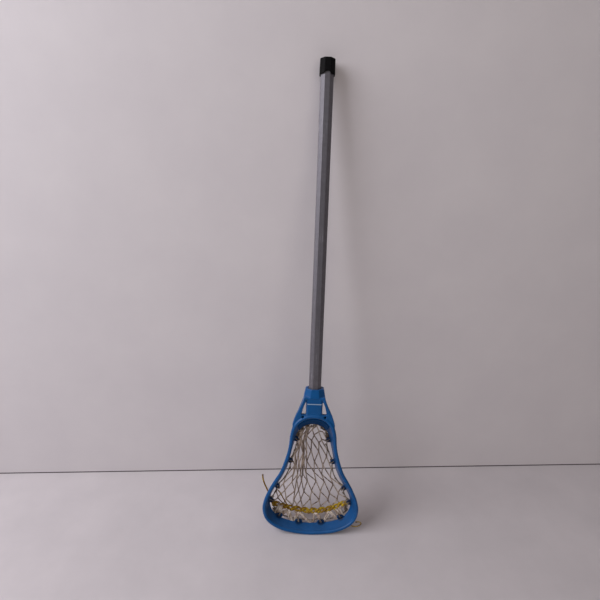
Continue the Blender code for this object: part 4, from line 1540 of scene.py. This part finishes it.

# %% [markdown]
# ## Nylon cord
#
# All the cord is braided nylon, in three conditions: the net, which has yellowed and taken up dirt
# in its gaps; the lacing, which is newer and whiter; and the yellow shooting string. One builder
# makes all of them. Cord never has one flat colour: dirt sits between the strands and in the
# hollows of the pocket, so colour follows the braid's gaps and a slow noise. The side strings and
# the throat lashing get a darker copy of the white nylon as painted shade; the yellow string is
# darkened on its left as painted shade, and the net lightened on its left as painted light.

# %%
# Braided cord in three conditions, and its melted ends
def make_cord_material(name, light, dark, dirt, strands, dirt_share, sheen, left_light_and_shade=0.0):
    """Braided nylon: light and dark are its shades, dirt what lies in its gaps; the last value paints shade
    on its left, and a negative last value paints light there instead.
    """
    material, tree, shader, position = new_material(name)
    lay = add(tree, "UVMap", uv_map="braid").outputs[0]
    braid = use(tree, "braid", Round_and_along=lay, Strands=strands)
    grain = use(tree, "grain", Position=position, Scale=2600.0)
    pulled = add(tree, "VectorMath", {0: position, 1: (1.0, 1.0, 0.3)}, operation="MULTIPLY").outputs[0]
    slow = to_range(tree, noise(tree, pulled, 260.0, 4.0, 0.6), 0.42, 0.6, 0.0, 1.0)
    across = add(tree, "SeparateXYZ", {0: position}).outputs[0]
    # Painted light and shade on the left: a positive value darkens the left side, a negative one lightens it
    left_shading = to_range(tree, across, -0.05, 0.02, left_light_and_shade, 0.0, True)
    base = blend_colour(tree, maths(tree, "SUBTRACT", slow, left_shading, True), dark, light)
    flecked = blend_colour(tree, maths(tree, "MULTIPLY", grain["Patches"], 0.3), base, dirt)
    soiled = blend_colour(tree, maths(tree, "MULTIPLY", braid["Gaps"], dirt_share), flecked, dirt)
    tree.links.new(soiled, shader.inputs["Base Color"])
    tree.links.new(to_range(tree, braid["Height"], 0.0, 1.0, 0.92, 0.68), shader.inputs["Roughness"])
    shader.inputs["Sheen Weight"].default_value = sheen
    shader.inputs["Sheen Roughness"].default_value = 0.5
    height = maths(tree, "ADD", braid["Height"], maths(tree, "MULTIPLY", grain["Height"], 0.25))
    bump(tree, shader, height, 0.8, 0.00035)
    return material


def make_melted():
    """The glassy dark bead of a melted cord end."""
    material, tree, shader, position = new_material("melted_nylon")
    grain = use(tree, "grain", Position=position, Scale=1200.0)
    glassy = blend_colour(tree, grain["Patches"], (0.05, 0.03, 0.008), (0.16, 0.09, 0.02))
    tree.links.new(glassy, shader.inputs["Base Color"])
    tree.links.new(to_range(tree, grain["Height"], 0.3, 0.7, 0.2, 0.45), shader.inputs["Roughness"])
    bump(tree, shader, grain["Height"], 0.4, 0.0003)
    return material


# The net is lightened on its left as painted light
NET_NYLON = make_cord_material(
    "net_nylon", (0.76, 0.63, 0.51), (0.20, 0.14, 0.105), (0.09, 0.058, 0.042), 2.0, 0.5, 0.1, -0.4)
WHITE_NYLON = make_cord_material(
    "white_nylon", (1.0, 0.90, 0.79), (0.50, 0.37, 0.28), (0.16, 0.10, 0.07), 3.0, 0.4, 0.12)
# A darker copy of the white nylon, as painted shade on the side strings and the throat lashing
SHADED_WHITE_NYLON = make_cord_material(
    "shaded_white_nylon", (0.42, 0.35, 0.27), (0.13, 0.095, 0.07), (0.06, 0.04, 0.03), 3.0, 0.5, 0.05)
# The yellow string is darkened on its left as painted shade
YELLOW_NYLON = make_cord_material(
    "yellow_nylon", (0.90, 0.65, 0.03), (0.38, 0.19, 0.010), (0.08, 0.035, 0.005), 4.0, 0.7, 0.08, 0.45)
wear_it([net], NET_NYLON)
wear_it(list(strings.values()) + [lashings["throat_string"]], SHADED_WHITE_NYLON)
wear_it([lashings["top_string"]], WHITE_NYLON)
wear_it([shooting_string, left_tail, right_tail], YELLOW_NYLON)
wear_it([left_tip, right_tip], make_melted())
print("cords made")

# %% [markdown]
# ## The floor and the wall
#
# The stick stands on its scoop and leans on a wall. It is upright in this model, so the floor and
# the wall lean by the same few degrees instead. Both show only from their front: their material
# turns clear on the back of each face, so that neither hides the stick from other sides. A thin
# dark strip stands for the shadow in the gap where they meet.

# %%
# Floor and wall
FLOOR_NORMAL = Vector((-0.0192, -0.2226, 0.9748)).normalized()
SCOOP_FOOT = at((0, -16, 0))
WALL_ALONG = Vector((0.9987, 0.0414, 0.0291))
WALL_GAP = 0.158
WALL_LEAN = 0.045
STAGE_WIDTH, STAGE_REACH = 5.0, 3.0
GAP_PROUD, GAP_HEIGHT = 0.001, 0.0022


def make_stage_plane(name, corner, across, up, material):
    """A flat rectangle from its corner and its two sides."""
    mesh = bpy.data.meshes.new(name)
    mesh.from_pydata([corner, corner + across, corner + across + up, corner + up], [], [(0, 1, 2, 3)])
    obj = bpy.data.objects.new(name, mesh)
    scene.collection.objects.link(obj)
    obj.data.materials.append(material)
    obj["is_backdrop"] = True
    return obj


def make_plaster(name, colour, tint):
    """Matt paint with a faint mottle, clear from behind."""
    material, tree, shader, position = new_material(name)
    mottle = to_range(tree, noise(tree, position, 9.0, 5.0, 0.6), 0.3, 0.7, 0.0, 1.0)
    tree.links.new(blend_colour(tree, mottle, colour, tint), shader.inputs["Base Color"])
    shader.inputs["Roughness"].default_value = 0.9
    shader.inputs["Specular IOR Level"].default_value = 0.2
    bump(tree, shader, noise(tree, position, 350.0, 4.0), 0.15, 0.0004)
    behind = tree.nodes.new("ShaderNodeNewGeometry").outputs["Backfacing"]
    clear = tree.nodes.new("ShaderNodeBsdfTransparent")
    mix = add(tree, "MixShader", {0: behind, 1: shader.outputs[0], 2: clear.outputs[0]})
    tree.links.new(mix.outputs[0], tree.nodes["Material Output"].inputs[0])
    return material


across = (WALL_ALONG - FLOOR_NORMAL * WALL_ALONG.dot(FLOOR_NORMAL)).normalized()
to_camera = across.cross(FLOOR_NORMAL).normalized()
wall_foot = SCOOP_FOOT - to_camera * WALL_GAP
left_foot, whole_width = wall_foot - across * (STAGE_WIDTH / 2), across * STAGE_WIDTH
make_stage_plane(
    "floor", left_foot + to_camera * STAGE_REACH, whole_width, -to_camera * STAGE_REACH,
    make_plaster("pale_floor", (0.60, 0.565, 0.58), (0.66, 0.62, 0.635)),
)
make_stage_plane(
    "wall", left_foot, whole_width, (FLOOR_NORMAL - to_camera * WALL_LEAN) * STAGE_REACH,
    make_plaster("pale_wall", (0.75, 0.715, 0.74), (0.79, 0.755, 0.775)),
)
make_stage_plane(
    "shadow_gap", left_foot + to_camera * GAP_PROUD, whole_width, FLOOR_NORMAL * GAP_HEIGHT,
    make_plaster("gap_shadow", (0.10, 0.085, 0.09), (0.14, 0.12, 0.125)),
)
print("wall stands", round(WALL_GAP, 3), "m behind the scoop")

# %% [markdown]
# ## Light
#
# One large soft lamp high on the left, as from a window, models the rails and throws soft shadows
# to the right. A weak broad lamp in front and a dim pale surround fill the shadows. The broad lamp
# is kept out of reflections, so that gloss shows only the window.

# %%
# Lights
FILL_STRENGTH, SEEN_STRENGTH = 0.095, 0.42


def soft_lamp(name, place, target, size, power, colour):
    """A square area lamp aimed at a point."""
    data = bpy.data.lights.new(name, "AREA")
    data.size, data.energy, data.color = size, power, colour
    lamp = bpy.data.objects.new(name, data)
    lamp.location = at(place)
    lamp.rotation_euler = (at(target) - lamp.location).to_track_quat("-Z", "Y").to_euler()
    scene.collection.objects.link(lamp)
    return lamp


soft_lamp(
    "window_light", place=(-1250, -680, 1150), target=(0, 0, 250),
    size=1.2, power=20.5, colour=(0.965, 0.95, 1.0),
)
room_light = soft_lamp(
    "room_light", place=(350, -1700, 900), target=(0, 0, 300),
    size=1.8, power=7.0, colour=(1.0, 0.90, 0.80),
)
room_light.visible_glossy = False
surround = bpy.data.worlds.new("surround")
surround.use_nodes = True
sky_tree = surround.node_tree
glow = sky_tree.nodes["Background"].inputs
glow["Color"].default_value = (0.84, 0.80, 0.84, 1.0)
seen = sky_tree.nodes.new("ShaderNodeLightPath").outputs["Is Camera Ray"]
strength = to_range(sky_tree, seen, 0.0, 1.0, FILL_STRENGTH, SEEN_STRENGTH)
sky_tree.links.new(strength, glow["Strength"])
scene.world = surround
scene.view_settings.view_transform = "Standard"
print("two lamps and a surround")

# %% [markdown]
# ## The size before and after
#
# Looks are meant to leave the object's size as it was. The box of the imported model and the box
# of the finished one are written side by side, so that they can be compared.

visual_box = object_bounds()
cad_size, visual_size = cad_box[1] - cad_box[0], visual_box[1] - visual_box[0]
print("cad", [round(v, 4) for v in cad_size], "visual", [round(v, 4) for v in visual_size])
